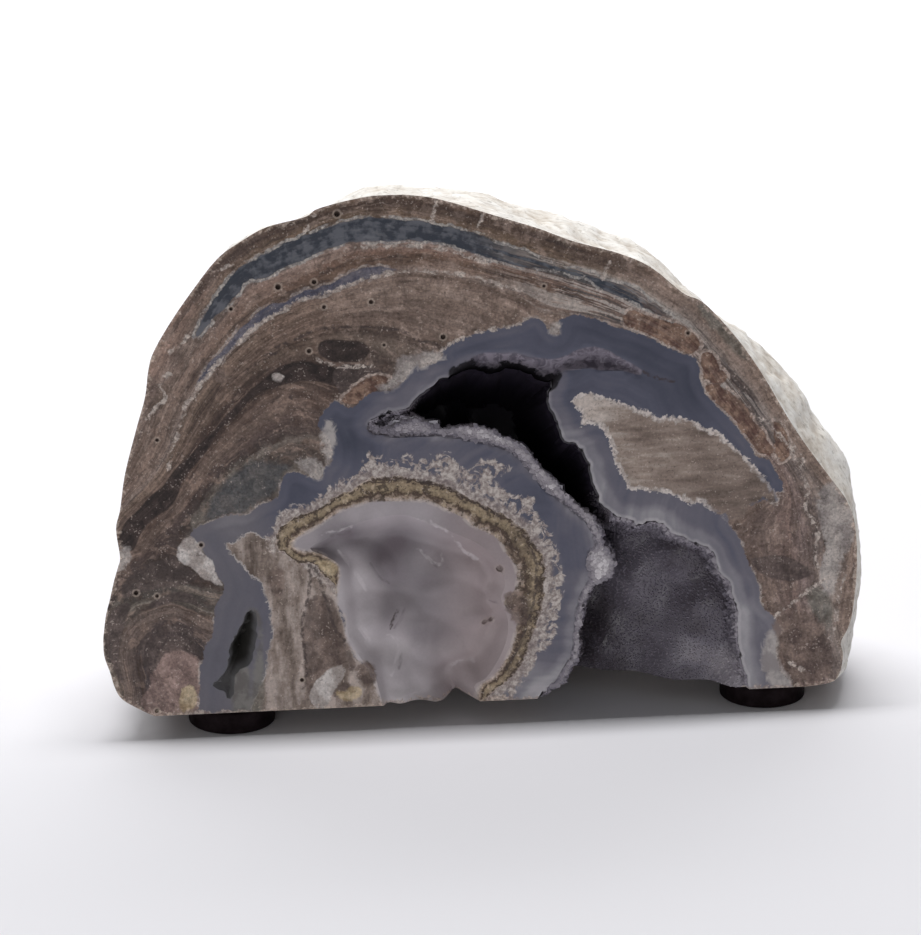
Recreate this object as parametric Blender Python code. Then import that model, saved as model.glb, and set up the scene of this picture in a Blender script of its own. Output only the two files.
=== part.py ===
"""Half of a geode nodule: banded rhyolite with an agate lining, sawn flat through its hollows, polished
on the cut, sawn flat below and standing on small rubber feet. Metres, +Z up, the polished face to -Y."""

import math

import bmesh
import bpy
import numpy as np
from mathutils import Vector, noise
from mathutils.geometry import delaunay_2d_cdt

# Sizes are in millimetres up to the last step, which turns them into metres.
MM = 0.001
GAP = 0.3

# The feet are stick-on rubber bumpers. The stone's sawn base lies on them.
FOOT_DIAMETER = 12.7
FOOT_HEIGHT = 3.3
FOOT_EDGE = 0.5
FOOT_PLACES = {
    "foot_front_left": (-33.4, 6.6),
    "foot_front_right": (46.0, 7.2),
    "foot_back": (6.0, 36.0),
}
BASE_HEIGHT = FOOT_HEIGHT + GAP

# The polished face leans back a little, and the stone swells and then closes behind it.
FACE_LEAN = math.radians(4.0)
BODY_DEPTH = 48.0
BODY_ROUNDNESS = 1.9
BODY_CENTRE = 2.0
RIND_DEPTH = 13.0
RING_DEPTHS = (0, 0.8, 2.5, 5, 8, 10.5, 13, 16, 19.5, 23, 27, 31, 35, 38.5, 41.5, 44, 46, 47.3)
RING_SPACING = 2.3
LUMP_SIZE = 15.0
LUMP_HEIGHT = 1.1
LEDGE_SIZE = 5.0
LEDGE_HEIGHT = 0.7
ROUGH_FROM = 5.0

# The outlines below are read off the photograph by hand, in its pixels. It looks at the face from a little
# above and a little to the left, and these values carry a pixel onto the face plane.
PHOTO_CENTRE = (460.5, 467.5)
PHOTO_SCALE = 6.93
VIEW_TURN = math.radians(-7.0)
VIEW_TILT = math.radians(18.5)
VIEW_DISTANCE = 600.0
VIEW_TARGET_HEIGHT = 35.5

FACE_OUTLINE = (
    (155, 717), (145, 712), (123, 700), (115, 688), (110, 672), (105, 659), (103, 645), (104, 631),
    (106, 615), (110, 599), (114, 581), (118, 567), (120, 557), (116, 529), (120, 510), (125, 474),
    (136, 430), (145, 397), (148, 372), (153, 353), (170, 323), (192, 291), (217, 259), (240, 242),
    (267, 227), (305, 217), (317, 209), (350, 200), (382, 195), (420, 196), (450, 202), (490, 214),
    (537, 228), (573, 241), (621, 254), (652, 268), (683, 293), (704, 303), (735, 336), (761, 372),
    (790, 421), (811, 452), (832, 480), (847, 501), (855, 525), (857, 565), (853, 609), (848, 628),
    (841, 642), (843, 655), (840, 672), (832, 682), (807, 686),
)

# Where the rind swells furthest, this far behind the face. The face hides its left side, which is judged.
RIND_OUTLINE = (
    (150, 692), (128, 660), (122, 617), (130, 560), (132, 500), (142, 440), (158, 385), (170, 345),
    (190, 305), (215, 268), (245, 240), (270, 228), (300, 216), (330, 205), (350, 196), (365, 191),
    (390, 190), (420, 191), (457, 191), (473, 193), (490, 196), (507, 203), (523, 208), (540, 213),
    (562, 218), (573, 225), (590, 232), (610, 240), (640, 249), (669, 268), (686, 284), (711, 308),
    (738, 328), (764, 353), (782, 369), (796, 384), (808, 403), (820, 419), (832, 440), (844, 465),
    (848, 497), (855, 525), (858, 565), (853, 609), (852, 639), (845, 653),
)

# Each hollow is cut by a solid that stands out in front of the face, with a row of points this far inside
# its rim.
CUTTER_PROUD = 3.0
RIM_ROW = 1.0

# The main hollow: a slit at the left, a wide dark mouth, then down to the right and out through the base.
HOLLOW_OUTLINE = (
    (366, 424), (378, 416), (390, 411), (403, 409), (413, 402), (430, 387), (450, 375), (467, 368),
    (497, 370), (510, 365), (530, 372), (547, 380), (557, 376), (551, 390), (550, 407), (558, 420),
    (563, 440), (582, 449), (590, 465), (598, 493), (608, 510), (631, 520), (650, 520), (673, 533),
    (701, 544), (716, 558), (730, 584), (738, 609), (738, 637), (743, 664), (749, 689), (752, 730),
    (530, 740), (540, 695), (561, 682), (575, 660), (579, 649), (580, 622), (588, 594), (597, 580),
    (613, 571), (608, 552), (600, 529), (591, 516), (572, 499), (562, 486), (543, 471), (529, 451),
    (500, 437), (483, 427), (447, 428), (430, 421), (413, 420), (400, 424), (385, 431), (372, 430),
)
# How deep its floor lies behind the face at places across it: a pixel, and millimetres.
HOLLOW_DEPTHS = (
    ((385, 421), 5.0), ((440, 405), 15.0), ((500, 400), 20.0), ((560, 445), 20.0), ((590, 500), 18.0),
    ((605, 545), 15.0), ((645, 540), 11.0), ((695, 562), 6.0), ((600, 610), 13.0), ((660, 600), 9.0),
    ((722, 620), 4.0), ((585, 665), 14.0), ((620, 672), 10.0), ((700, 682), 5.0), ((746, 690), 1.0),
    ((560, 720), 14.0),
)
HOLLOW_WALL = math.tan(math.radians(84.0))
HOLLOW_SPACING = 2.0
# The dark mouth runs back and down, so that its floor is hidden from the front.
UNDERCUT = 0.45
UNDERCUT_FROM = 12.0
UNDERCUT_OVER = 20.0
CRUST_THICKNESS = 1.0
CRUST_START = 1.2
CRYSTAL_HEIGHT = 0.8

# The bowl of milky chalcedony. Its lower lip comes forward to the face, but for a notch that opens through
# the base.
BOWL_OUTLINE = (
    (310, 548), (335, 534), (352, 525), (380, 517), (405, 515), (428, 523), (452, 532), (480, 545),
    (497, 562), (505, 583), (501, 600), (508, 620), (506, 642), (497, 662), (486, 678), (474, 686),
    (480, 700), (482, 735), (440, 735), (441, 708), (425, 711), (395, 714), (385, 708), (380, 694),
    (373, 671), (362, 660), (350, 640), (345, 617), (341, 590), (339, 566), (325, 556),
)
BOWL_DEPTHS = (
    ((335, 545), 2.0), ((360, 580), 4.2), ((395, 545), 6.0), ((440, 560), 5.4), ((480, 575), 3.2),
    ((400, 600), 6.2), ((440, 610), 5.2), ((480, 620), 3.4), ((365, 630), 3.4), ((400, 650), 5.6),
    ((450, 650), 5.8), ((485, 655), 4.2), ((395, 685), 2.4), ((425, 685), 3.6), ((455, 682), 6.4),
    ((466, 700), 7.4), ((400, 704), 0.8), ((466, 730), 7.4),
)
BOWL_WALL = math.tan(math.radians(65.0))
BOWL_LUMPS = (
    ((395, 590), 9.0, 1.4), ((360, 580), 6.0, 1.0), ((430, 560), 6.5, 1.1), ((470, 590), 7.0, 1.2),
    ((450, 630), 7.0, 1.3), ((480, 650), 5.5, 1.0), ((390, 640), 6.0, 1.2), ((425, 670), 7.0, 1.2),
    ((370, 625), 4.5, 0.9),
)
BOWL_SPACING = 2.3

# The narrow hollow at the lower left.
SLIT_OUTLINE = (
    (249, 608), (257, 622), (256, 645), (250, 665), (246, 690), (248, 735), (214, 738), (216, 690),
    (226, 668), (231, 645), (236, 632),
)
SLIT_DEPTH = 7.0
SLIT_EASE = 1.6
SLIT_SPACING = 1.6

# Colours, as linear red, green and blue.
STONE_COLOUR = (0.19, 0.15, 0.13)
QUARTZ_COLOUR = (0.12, 0.11, 0.13)
RUBBER_COLOUR = (0.008, 0.004, 0.005)


def view_axes():
    """The photograph's right, up and viewing directions in the stone's frame."""
    back = np.array([
        math.sin(VIEW_TURN) * math.cos(VIEW_TILT),
        -math.cos(VIEW_TURN) * math.cos(VIEW_TILT),
        math.sin(VIEW_TILT),
    ])
    right = np.array([math.cos(VIEW_TURN), math.sin(VIEW_TURN), 0.0])
    return right, np.cross(right, -back), -back


def on_face(pixels, depth=0.0):
    """Photograph pixels carried onto the face, or a plane behind it: millimetres to the right and up it."""
    right, up, forward = view_axes()
    slope = np.array([0.0, math.sin(FACE_LEAN), math.cos(FACE_LEAN)])
    inward = np.array([0.0, math.cos(FACE_LEAN), -math.sin(FACE_LEAN)])
    foot = np.array([0.0, depth, BASE_HEIGHT])
    eye = (0.0, 0.0, BASE_HEIGHT) + slope * VIEW_TARGET_HEIGHT - forward * VIEW_DISTANCE
    across = (np.asarray(pixels, float) - PHOTO_CENTRE) / (PHOTO_SCALE * VIEW_DISTANCE)
    rays = forward + across[:, :1] * right - across[:, 1:] * up
    reach = ((foot - eye) @ inward) / (rays @ inward)
    hits = eye + rays * reach[:, None]
    return np.column_stack([hits[:, 0], (hits - foot) @ slope])


def place(plan, depth):
    """Face millimetres and a depth behind the face, as points in the stone's frame."""
    return np.column_stack([
        plan[:, 0],
        plan[:, 1] * math.sin(FACE_LEAN) + depth,
        plan[:, 1] * math.cos(FACE_LEAN) + BASE_HEIGHT,
    ])


def even_points(outline, spacing, closed=True):
    """Points at even steps along an outline."""
    ends = np.vstack([outline, outline[:1]]) if closed else np.asarray(outline)
    lengths = np.linalg.norm(np.diff(ends, axis=0), axis=1)
    along = np.concatenate([[0.0], np.cumsum(lengths)])
    count = max(3, round(along[-1] / spacing))
    steps = np.linspace(0.0, along[-1], count + 1)
    if closed:
        steps = steps[:-1]
    return np.column_stack([np.interp(steps, along, ends[:, axis]) for axis in (0, 1)])


def rim_distance(points, outline):
    """Each point's distance inside a closed outline, negative outside it."""
    starts = outline
    sides = np.roll(outline, -1, axis=0) - starts
    offsets = points[:, None, :] - starts[None, :, :]
    share = np.clip((offsets * sides).sum(axis=2) / (sides * sides).sum(axis=1), 0.0, 1.0)
    nearest = np.linalg.norm(offsets - share[:, :, None] * sides, axis=2).min(axis=1)
    ends = starts + sides
    straddles = (starts[:, 1] > points[:, None, 1]) != (ends[:, 1] > points[:, None, 1])
    rise = np.where(np.abs(sides[:, 1]) < 1e-9, 1e-9, sides[:, 1])
    crossing = starts[:, 0] + (points[:, None, 1] - starts[:, 1]) / rise * sides[:, 0]
    inside = (straddles & (points[:, None, 0] < crossing)).sum(axis=1) % 2 == 1
    return np.where(inside, nearest, -nearest)


def smooth_step(value):
    value = np.clip(value, 0.0, 1.0)
    return value * value * (3.0 - 2.0 * value)


def inner_row(rim):
    """A row of points just inside a rim, left out where the hollow is too narrow for it."""
    sides = np.roll(rim, -1, axis=0) - rim
    middles = rim + sides / 2
    across = np.column_stack([-sides[:, 1], sides[:, 0]]) / np.linalg.norm(sides, axis=1)[:, None]
    turning = (rim[:, 0] * np.roll(rim[:, 1], -1) - np.roll(rim[:, 0], -1) * rim[:, 1]).sum()
    row = middles + across * math.copysign(RIM_ROW, turning)
    return row[rim_distance(row, rim) > 0.8 * RIM_ROW]


def plan_mesh(outline, spacing):
    """Triangles that fill an outline: points along its rim and a staggered grid of points inside it."""
    rim = even_points(outline, spacing)
    low = rim.min(axis=0)
    high = rim.max(axis=0)
    row_height = spacing * math.sqrt(0.75)
    grid = []
    for row in range(int((high[1] - low[1]) / row_height) + 1):
        start = low[0] + (row % 2) * spacing / 2
        for across in np.arange(start, high[0], spacing):
            grid.append((across, low[1] + row * row_height))
    grid = np.array(grid)
    grid = grid[rim_distance(grid, rim) > RIM_ROW + 0.5 * spacing]
    points = np.vstack([rim, inner_row(rim), grid])
    edges = [(index, (index + 1) % len(rim)) for index in range(len(rim))]
    found = delaunay_2d_cdt([Vector(point) for point in points], edges, [], 1, 1e-6)
    return np.array([tuple(point) for point in found[0]]), found[2], len(rim)


def layered_solid(front, back, triangles, rim_count):
    """A closed mesh between two layers of the same triangles, joined round their rim; its front faces."""
    mesh = bmesh.new()
    front_vertices = [mesh.verts.new(point) for point in front]
    back_vertices = [mesh.verts.new(point) for point in back]
    front_faces = []
    for triangle in triangles:
        front_faces.append(mesh.faces.new([front_vertices[index] for index in triangle]))
        mesh.faces.new([back_vertices[index] for index in reversed(triangle)])
    for index in range(rim_count):
        following = (index + 1) % rim_count
        mesh.faces.new([
            front_vertices[index], back_vertices[index], back_vertices[following], front_vertices[following]
        ])
    bmesh.ops.recalc_face_normals(mesh, faces=mesh.faces)
    return mesh, front_faces


def add_object(name, mesh, colour=None, roughness=0.5):
    data = bpy.data.meshes.new(name)
    mesh.to_mesh(data)
    mesh.free()
    thing = bpy.data.objects.new(name, data)
    bpy.context.scene.collection.objects.link(thing)
    if colour:
        material = bpy.data.materials.new(name)
        material.use_nodes = True
        shader = material.node_tree.nodes["Principled BSDF"]
        shader.inputs["Base Color"].default_value = (*colour, 1.0)
        shader.inputs["Roughness"].default_value = roughness
        data.materials.append(material)
    return thing


def cut(thing, cutter, operation="DIFFERENCE"):
    cutter.hide_render = True
    cutter.display_type = "WIRE"
    step = thing.modifiers.new(cutter.name, "BOOLEAN")
    step.operation = operation
    step.object = cutter
    step.use_self = operation == "INTERSECT"


def reach_along(outline, centre, turns):
    """How far an outline lies from a centre, in each of the directions given by their angles."""
    offsets = even_points(outline, 1.0, closed=False) - centre
    angles = np.arctan2(offsets[:, 1], offsets[:, 0])
    order = np.argsort(angles)
    return np.interp(turns, angles[order], np.linalg.norm(offsets, axis=1)[order])


def make_body():
    """The uncut stone: rings that swell from the face's outline to the rind's, then close."""
    face = on_face(FACE_OUTLINE)
    face[[0, -1], 1] = 0.0
    rind = on_face(RIND_OUTLINE, RIND_DEPTH)
    rind[[0, -1], 1] = 0.0
    centre = np.array([BODY_CENTRE, 0.0])
    arch = even_points(face, RING_SPACING, closed=False) - centre
    turns = np.arctan2(np.abs(arch[:, 1]), arch[:, 0])
    outward = np.column_stack([np.cos(turns), np.sin(turns)])
    face_reach = np.linalg.norm(arch, axis=1)
    rind_reach = reach_along(rind, centre, turns)
    mesh = bmesh.new()
    rings = []
    for depth in RING_DEPTHS:
        if depth < RIND_DEPTH:
            swollen = 1.0 - (1.0 - depth / RIND_DEPTH) ** 2
            reach = face_reach + (rind_reach - face_reach) * swollen
        else:
            closing = (depth - RIND_DEPTH) / (BODY_DEPTH - RIND_DEPTH)
            reach = rind_reach * (1.0 - closing ** BODY_ROUNDNESS) ** (1.0 / BODY_ROUNDNESS)
        rough = smooth_step(depth / ROUGH_FROM)
        for index in range(len(reach)):
            point = Vector((*(centre + outward[index] * reach[index]), depth))
            lump = noise.noise(point / LUMP_SIZE) * LUMP_HEIGHT
            ledge = noise.noise(point / LEDGE_SIZE) * LEDGE_HEIGHT
            reach[index] += (lump + ledge) * rough
        plan = centre + outward * reach[:, None]
        plan[[0, -1], 1] = 0.0
        rings.append([mesh.verts.new(point) for point in place(plan, np.full(len(plan), float(depth)))])
    for ring, deeper in zip(rings, rings[1:]):
        for index in range(len(ring) - 1):
            mesh.faces.new([ring[index], ring[index + 1], deeper[index + 1], deeper[index]])
    mesh.faces.new(rings[0])
    mesh.faces.new(rings[-1])
    mesh.faces.new([ring[0] for ring in rings] + [ring[-1] for ring in reversed(rings)])
    bmesh.ops.recalc_face_normals(mesh, faces=mesh.faces)
    return add_object("nodule", mesh, STONE_COLOUR, 0.45)


def blended_depth(plan, readings):
    """A hollow's floor, blended between the depths read across it."""
    places = on_face([pixel for pixel, _ in readings])
    depths = np.array([depth for _, depth in readings])
    away = np.linalg.norm(plan[:, None, :] - places[None, :, :], axis=2)
    weights = 1.0 / (away + 0.5) ** 3
    return (weights * depths).sum(axis=1) / weights.sum(axis=1)


def hollow_depth(plan, inset):
    """The main hollow's surface, or one drawn in from it all over by an inset."""
    outline = on_face(HOLLOW_OUTLINE)
    wall = (rim_distance(plan, outline) - inset) * HOLLOW_WALL
    return np.minimum(wall, blended_depth(plan, HOLLOW_DEPTHS)) - inset


def undercut(plan, depth):
    """Plan points moved down with depth, fully in the dark mouth and not at all near the base."""
    share = smooth_step((plan[:, 1] - UNDERCUT_FROM) / UNDERCUT_OVER)
    moved = plan.copy()
    moved[:, 1] -= UNDERCUT * depth * share
    return moved


def make_hollow():
    """The space of the main hollow, as a cutter that stands out in front of the face."""
    plan, triangles, rim_count = plan_mesh(on_face(HOLLOW_OUTLINE), HOLLOW_SPACING)
    depth = np.maximum(hollow_depth(plan, 0.0), 0.0)
    front = place(plan, np.full(len(plan), -CUTTER_PROUD))
    back = place(undercut(plan, depth), depth)
    mesh, _ = layered_solid(front, back, triangles, rim_count)
    return add_object("hollow_space", mesh)


def make_crust():
    """The quartz that lines the main hollow: a thin crust with a crystal raised on each of its facets."""
    plan, triangles, rim_count = plan_mesh(on_face(HOLLOW_OUTLINE), HOLLOW_SPACING)
    outer = hollow_depth(plan, GAP)
    inner = hollow_depth(plan, GAP + CRUST_THICKNESS)
    front = place(undercut(plan, inner), inner)
    back = place(undercut(plan, outer), outer)
    mesh, crystal_faces = layered_solid(front, back, triangles, rim_count)
    bmesh.ops.poke(mesh, faces=crystal_faces, offset=CRYSTAL_HEIGHT)
    return add_object("quartz_crust", mesh, QUARTZ_COLOUR, 0.3)


def make_bowl():
    """The space of the bowl, whose lumps stand up from its floor."""
    plan, triangles, rim_count = plan_mesh(on_face(BOWL_OUTLINE), BOWL_SPACING)
    wall = np.maximum(rim_distance(plan, on_face(BOWL_OUTLINE)), 0.0) * BOWL_WALL
    depth = np.minimum(wall, blended_depth(plan, BOWL_DEPTHS))
    for pixel, radius, height in BOWL_LUMPS:
        away = np.linalg.norm(plan - on_face([pixel]), axis=1)
        lump = height * np.sqrt(np.clip(1.0 - (away / radius) ** 2, 0.0, 1.0))
        depth -= np.minimum(lump, 0.5 * depth)
    front = place(plan, np.full(len(plan), -CUTTER_PROUD))
    mesh, _ = layered_solid(front, place(plan, depth), triangles, rim_count)
    return add_object("bowl_space", mesh)


def make_slit():
    """The space of the narrow hollow at the lower left."""
    plan, triangles, rim_count = plan_mesh(on_face(SLIT_OUTLINE), SLIT_SPACING)
    fall = np.clip(rim_distance(plan, on_face(SLIT_OUTLINE)) / SLIT_EASE, 0.0, 1.0)
    depth = SLIT_DEPTH * np.sqrt(1.0 - (1.0 - fall) ** 2)
    front = place(plan, np.full(len(plan), -CUTTER_PROUD))
    mesh, _ = layered_solid(front, place(plan, depth), triangles, rim_count)
    return add_object("slit_space", mesh)


def make_keep():
    """The room behind the face and above the base, to which the crust is trimmed."""
    mesh = bmesh.new()
    corners = ((-80.0, 0.0), (80.0, 0.0), (80.0, 90.0), (-80.0, 90.0))
    front = place(np.array(corners), np.full(4, CRUST_START))
    back = place(np.array(corners), np.full(4, BODY_DEPTH))
    low = [mesh.verts.new(point) for point in front]
    high = [mesh.verts.new(point) for point in back]
    mesh.faces.new(low)
    mesh.faces.new(reversed(high))
    for index in range(4):
        following = (index + 1) % 4
        mesh.faces.new([low[index], high[index], high[following], low[following]])
    bmesh.ops.recalc_face_normals(mesh, faces=mesh.faces)
    return add_object("keep_space", mesh)


def make_foot(name, centre):
    """A low rubber disc with softened edges."""
    mesh = bmesh.new()
    bmesh.ops.create_cone(
        mesh,
        cap_ends=True,
        segments=32,
        radius1=FOOT_DIAMETER / 2,
        radius2=FOOT_DIAMETER / 2,
        depth=FOOT_HEIGHT,
    )
    rims = [edge for edge in mesh.edges if abs(edge.verts[0].co.z - edge.verts[1].co.z) < 1e-6]
    bmesh.ops.bevel(mesh, geom=rims, offset=FOOT_EDGE, segments=2, profile=0.5, affect="EDGES")
    bmesh.ops.translate(mesh, verts=mesh.verts, vec=(*centre, FOOT_HEIGHT / 2))
    return add_object(name, mesh, RUBBER_COLOUR, 0.7)


def settle(things):
    """Turns everything into metres, with the origin under the middle of the nodes' box."""
    graph = bpy.context.evaluated_depsgraph_get()
    corners = []
    for thing in things:
        if not thing.hide_render:
            corners += [Vector(corner) for corner in thing.evaluated_get(graph).bound_box]
    low = np.min(corners, axis=0)
    high = np.max(corners, axis=0)
    centre = Vector(((low[0] + high[0]) / 2, (low[1] + high[1]) / 2, low[2]))
    for thing in things:
        for vertex in thing.data.vertices:
            vertex.co = (vertex.co - centre) * MM


def build():
    for thing in list(bpy.data.objects):
        bpy.data.objects.remove(thing)
    nodule = make_body()
    crust = make_crust()
    cutters = [make_hollow(), make_bowl(), make_slit()]
    keep = make_keep()
    for cutter in cutters:
        cut(nodule, cutter)
    cut(crust, keep, "INTERSECT")
    feet = [make_foot(name, centre) for name, centre in FOOT_PLACES.items()]
    settle([nodule, crust, keep, *cutters, *feet])


build()
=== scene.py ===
import math

import bmesh
import bpy
import numpy as np
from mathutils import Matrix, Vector, noise
from mathutils.geometry import delaunay_2d_cdt


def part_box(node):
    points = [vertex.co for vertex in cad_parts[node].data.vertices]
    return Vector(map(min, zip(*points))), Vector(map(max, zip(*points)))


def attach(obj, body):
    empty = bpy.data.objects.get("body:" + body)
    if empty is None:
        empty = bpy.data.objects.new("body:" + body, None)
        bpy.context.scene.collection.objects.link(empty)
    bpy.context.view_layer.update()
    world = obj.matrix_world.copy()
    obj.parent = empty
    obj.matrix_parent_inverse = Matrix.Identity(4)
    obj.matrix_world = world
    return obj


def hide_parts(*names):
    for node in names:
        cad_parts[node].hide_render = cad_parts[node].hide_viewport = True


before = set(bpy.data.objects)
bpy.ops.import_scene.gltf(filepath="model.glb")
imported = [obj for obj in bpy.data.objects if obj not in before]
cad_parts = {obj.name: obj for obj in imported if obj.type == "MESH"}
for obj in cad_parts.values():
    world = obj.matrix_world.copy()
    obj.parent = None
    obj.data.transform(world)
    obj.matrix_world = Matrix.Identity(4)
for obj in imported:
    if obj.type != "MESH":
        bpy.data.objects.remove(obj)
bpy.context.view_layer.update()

# The camera. It looks at the sawn face from a little above and a little to the left, through a long lens, and
# its place also carries a pixel of the photograph onto the face, where the shapes below were read.
MM = 0.001
PHOTO_WIDTH, PHOTO_HEIGHT = 921, 935
PHOTO_CENTRE = (PHOTO_WIDTH / 2, PHOTO_HEIGHT / 2)
PHOTO_SCALE = 6.93
VIEW_TURN = math.radians(-7.0)
VIEW_TILT = math.radians(18.5)
VIEW_DISTANCE = 600.0
VIEW_TARGET_HEIGHT = 35.5
SENSOR = 36.0
FACE_LEAN = math.radians(4.0)
BASE_HEIGHT = 3.6
CAD_STEP = 2.3

FACE_OUTLINE = (
    (155, 717), (145, 712), (123, 700), (115, 688), (110, 672), (105, 659), (103, 645), (104, 631),
    (106, 615), (110, 599), (114, 581), (118, 567), (120, 557), (116, 529), (120, 510), (125, 474),
    (136, 430), (145, 397), (148, 372), (153, 353), (170, 323), (192, 291), (217, 259), (240, 242),
    (267, 227), (305, 217), (317, 209), (350, 200), (382, 195), (420, 196), (450, 202), (490, 214),
    (537, 228), (573, 241), (621, 254), (652, 268), (683, 293), (704, 303), (735, 336), (761, 372),
    (790, 421), (811, 452), (832, 480), (847, 501), (855, 525), (857, 565), (853, 609), (848, 628),
    (841, 642), (843, 655), (840, 672), (832, 682), (807, 686),
)

view_back = np.array([
    math.sin(VIEW_TURN) * math.cos(VIEW_TILT),
    -math.cos(VIEW_TURN) * math.cos(VIEW_TILT),
    math.sin(VIEW_TILT),
])
view_right = np.array([math.cos(VIEW_TURN), math.sin(VIEW_TURN), 0.0])
view_up = np.cross(view_back, view_right)
face_slope = np.array([0.0, math.sin(FACE_LEAN), math.cos(FACE_LEAN)])
face_inward = np.array([0.0, math.cos(FACE_LEAN), -math.sin(FACE_LEAN)])
view_target = (0.0, 0.0, BASE_HEIGHT) + face_slope * VIEW_TARGET_HEIGHT
view_eye = view_target + view_back * VIEW_DISTANCE


def on_face(pixels, depth=0.0):
    """Photograph pixels on the face, or on a plane behind it: millimetres to the right and up the face."""
    foot = np.array([0.0, depth, BASE_HEIGHT])
    across = (np.asarray(pixels, float) - PHOTO_CENTRE) / (PHOTO_SCALE * VIEW_DISTANCE)
    rays = across[:, :1] * view_right - across[:, 1:] * view_up - view_back
    hits = view_eye + rays * (((foot - view_eye) @ face_inward) / (rays @ face_inward))[:, None]
    return np.column_stack([hits[:, 0], (hits - foot) @ face_slope])


def even_points(outline, spacing, closed=True):
    """Points at even steps along an outline."""
    ends = np.vstack([outline, outline[:1]]) if closed else np.asarray(outline)
    along = np.concatenate([[0.0], np.cumsum(np.linalg.norm(np.diff(ends, axis=0), axis=1))])
    steps = np.linspace(0.0, along[-1], max(3, round(along[-1] / spacing)) + 1)
    if closed:
        steps = steps[:-1]
    return np.column_stack([np.interp(steps, along, ends[:, axis]) for axis in (0, 1)])


# The CAD part stands with its box centred, so the face's own left end gives how far that moved it.
face_edge = on_face(FACE_OUTLINE)
face_edge[[0, -1], 1] = 0.0
nodule_low, nodule_high = (np.array(corner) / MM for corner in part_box("nodule"))
shift = np.array([
    nodule_low[0] - even_points(face_edge, CAD_STEP, closed=False)[:, 0].min(), nodule_low[1], 0.0
])

camera = bpy.data.objects.new("camera", bpy.data.cameras.new("camera"))
bpy.context.scene.collection.objects.link(camera)
camera.location = (view_eye + shift) * MM
camera.rotation_euler = Vector(view_back).to_track_quat("Z", "Y").to_euler()
camera.data.sensor_width = SENSOR
camera.data.lens = SENSOR * PHOTO_SCALE * VIEW_DISTANCE / max(PHOTO_WIDTH, PHOTO_HEIGHT)
camera.data.clip_start = 0.01
camera.data.clip_end = 20.0
bpy.context.scene.camera = camera


# The stone: half a nodule of banded rhyolite, lined with agate, sawn flat and polished in front and sawn flat
# below. One closed mesh: the face with the hollows that run back from it, the rough rind, and the base.
# Its sizes are in millimetres.
RIM_STEP = 0.6
RIM_CLEAR = 0.3
RIM_RAGGED, RIM_RAGGED_MOST = 0.13, 0.2
RIM_RAGGED_ABOVE = 1.0
HOLLOW_RIM_SEED, SLIT_RIM_SEED = 5, 6
GRID_STEP = 0.56
EDGE_STEP = 0.3
RIND_EDGE_STEP = 0.5
RIND_STEP = 0.85
RIND_FIRST_RINGS = (0.0, 0.15, 0.45, 0.9, 1.5)
RIND_NEXT_RING = 2.2
RIND_DEPTH = 13.0
BODY_DEPTH = 48.0
BODY_ROUNDNESS = 1.9
BODY_CENTRE = 2.0
LUMP_SIZE, LUMP_HEIGHT = 15.0, 1.1
LEDGE_SIZE, LEDGE_HEIGHT = 5.0, 0.7
CHIP_SIZE, CHIP_HEIGHT = 2.6, 0.55
GRAIN_SIZE, GRAIN_HEIGHT = 1.1, 0.16
CHIP_SHIFT = 40.0
LUMPS_FROM, CHIPS_FROM = 5.0, 1.5
CAP_DEPTH = 41.0
CAP_STEP, CAP_EDGE_STEP, CAP_CLEAR = 0.95, 1.2, 0.45
CAP_FLATTENING = 0.9
CAP_GRAIN_HEIGHT = 0.12
BASE_STEP, BASE_CLEAR = 1.6, 0.7
BASE_FOOT_CLEAR = 0.25
STONE_SHARP = math.radians(38)

RIND_OUTLINE = (
    (150, 692), (128, 660), (122, 617), (130, 560), (132, 500), (142, 440), (158, 385), (170, 345),
    (190, 305), (215, 268), (245, 240), (270, 228), (300, 216), (330, 205), (350, 196), (365, 191),
    (390, 190), (420, 191), (457, 191), (473, 193), (490, 196), (507, 203), (523, 208), (540, 213),
    (562, 218), (573, 225), (590, 232), (610, 240), (640, 249), (669, 268), (686, 284), (711, 308),
    (738, 328), (764, 353), (782, 369), (796, 384), (808, 403), (820, 419), (832, 440), (844, 465),
    (848, 497), (855, 525), (858, 565), (853, 609), (852, 639), (845, 653),
)
HOLLOW_RIM = (
    (368, 423), (379, 415), (389, 411), (399, 409), (406, 409), (413, 402), (420, 395), (430, 387),
    (440, 379), (450, 375), (458, 370), (467, 368), (482, 369), (487, 372), (497, 370), (503, 366),
    (510, 365), (520, 368), (530, 372), (540, 378), (547, 380), (555, 377), (552, 385), (549, 397),
    (550, 407), (555, 415), (558, 420), (560, 430), (563, 440), (572, 442), (582, 449), (586, 456),
    (590, 465), (592, 478), (596, 486), (598, 493), (600, 501), (608, 510), (618, 516), (631, 520),
    (639, 525), (650, 520), (663, 525), (673, 533), (684, 538), (701, 544), (711, 550), (716, 558),
    (720, 571), (730, 584), (733, 597), (738, 609), (738, 637), (741, 651), (743, 664), (746, 675),
    (749, 689), (752, 730), (530, 740), (540, 695), (548, 690), (561, 682), (567, 671), (575, 660),
    (579, 649), (578, 635), (580, 622), (582, 607), (588, 594), (591, 584), (597, 580), (608, 577),
    (613, 571), (612, 561), (608, 552), (603, 546), (600, 535), (600, 529), (595, 522), (591, 516),
    (581, 508), (572, 499), (563, 493), (562, 486), (553, 479), (543, 471), (533, 459), (529, 451),
    (514, 440), (500, 437), (493, 429), (483, 427), (470, 426), (457, 427), (447, 428), (438, 427),
    (437, 420), (430, 421), (420, 419), (413, 416), (404, 418), (392, 422), (388, 429), (376, 428),
)
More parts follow.
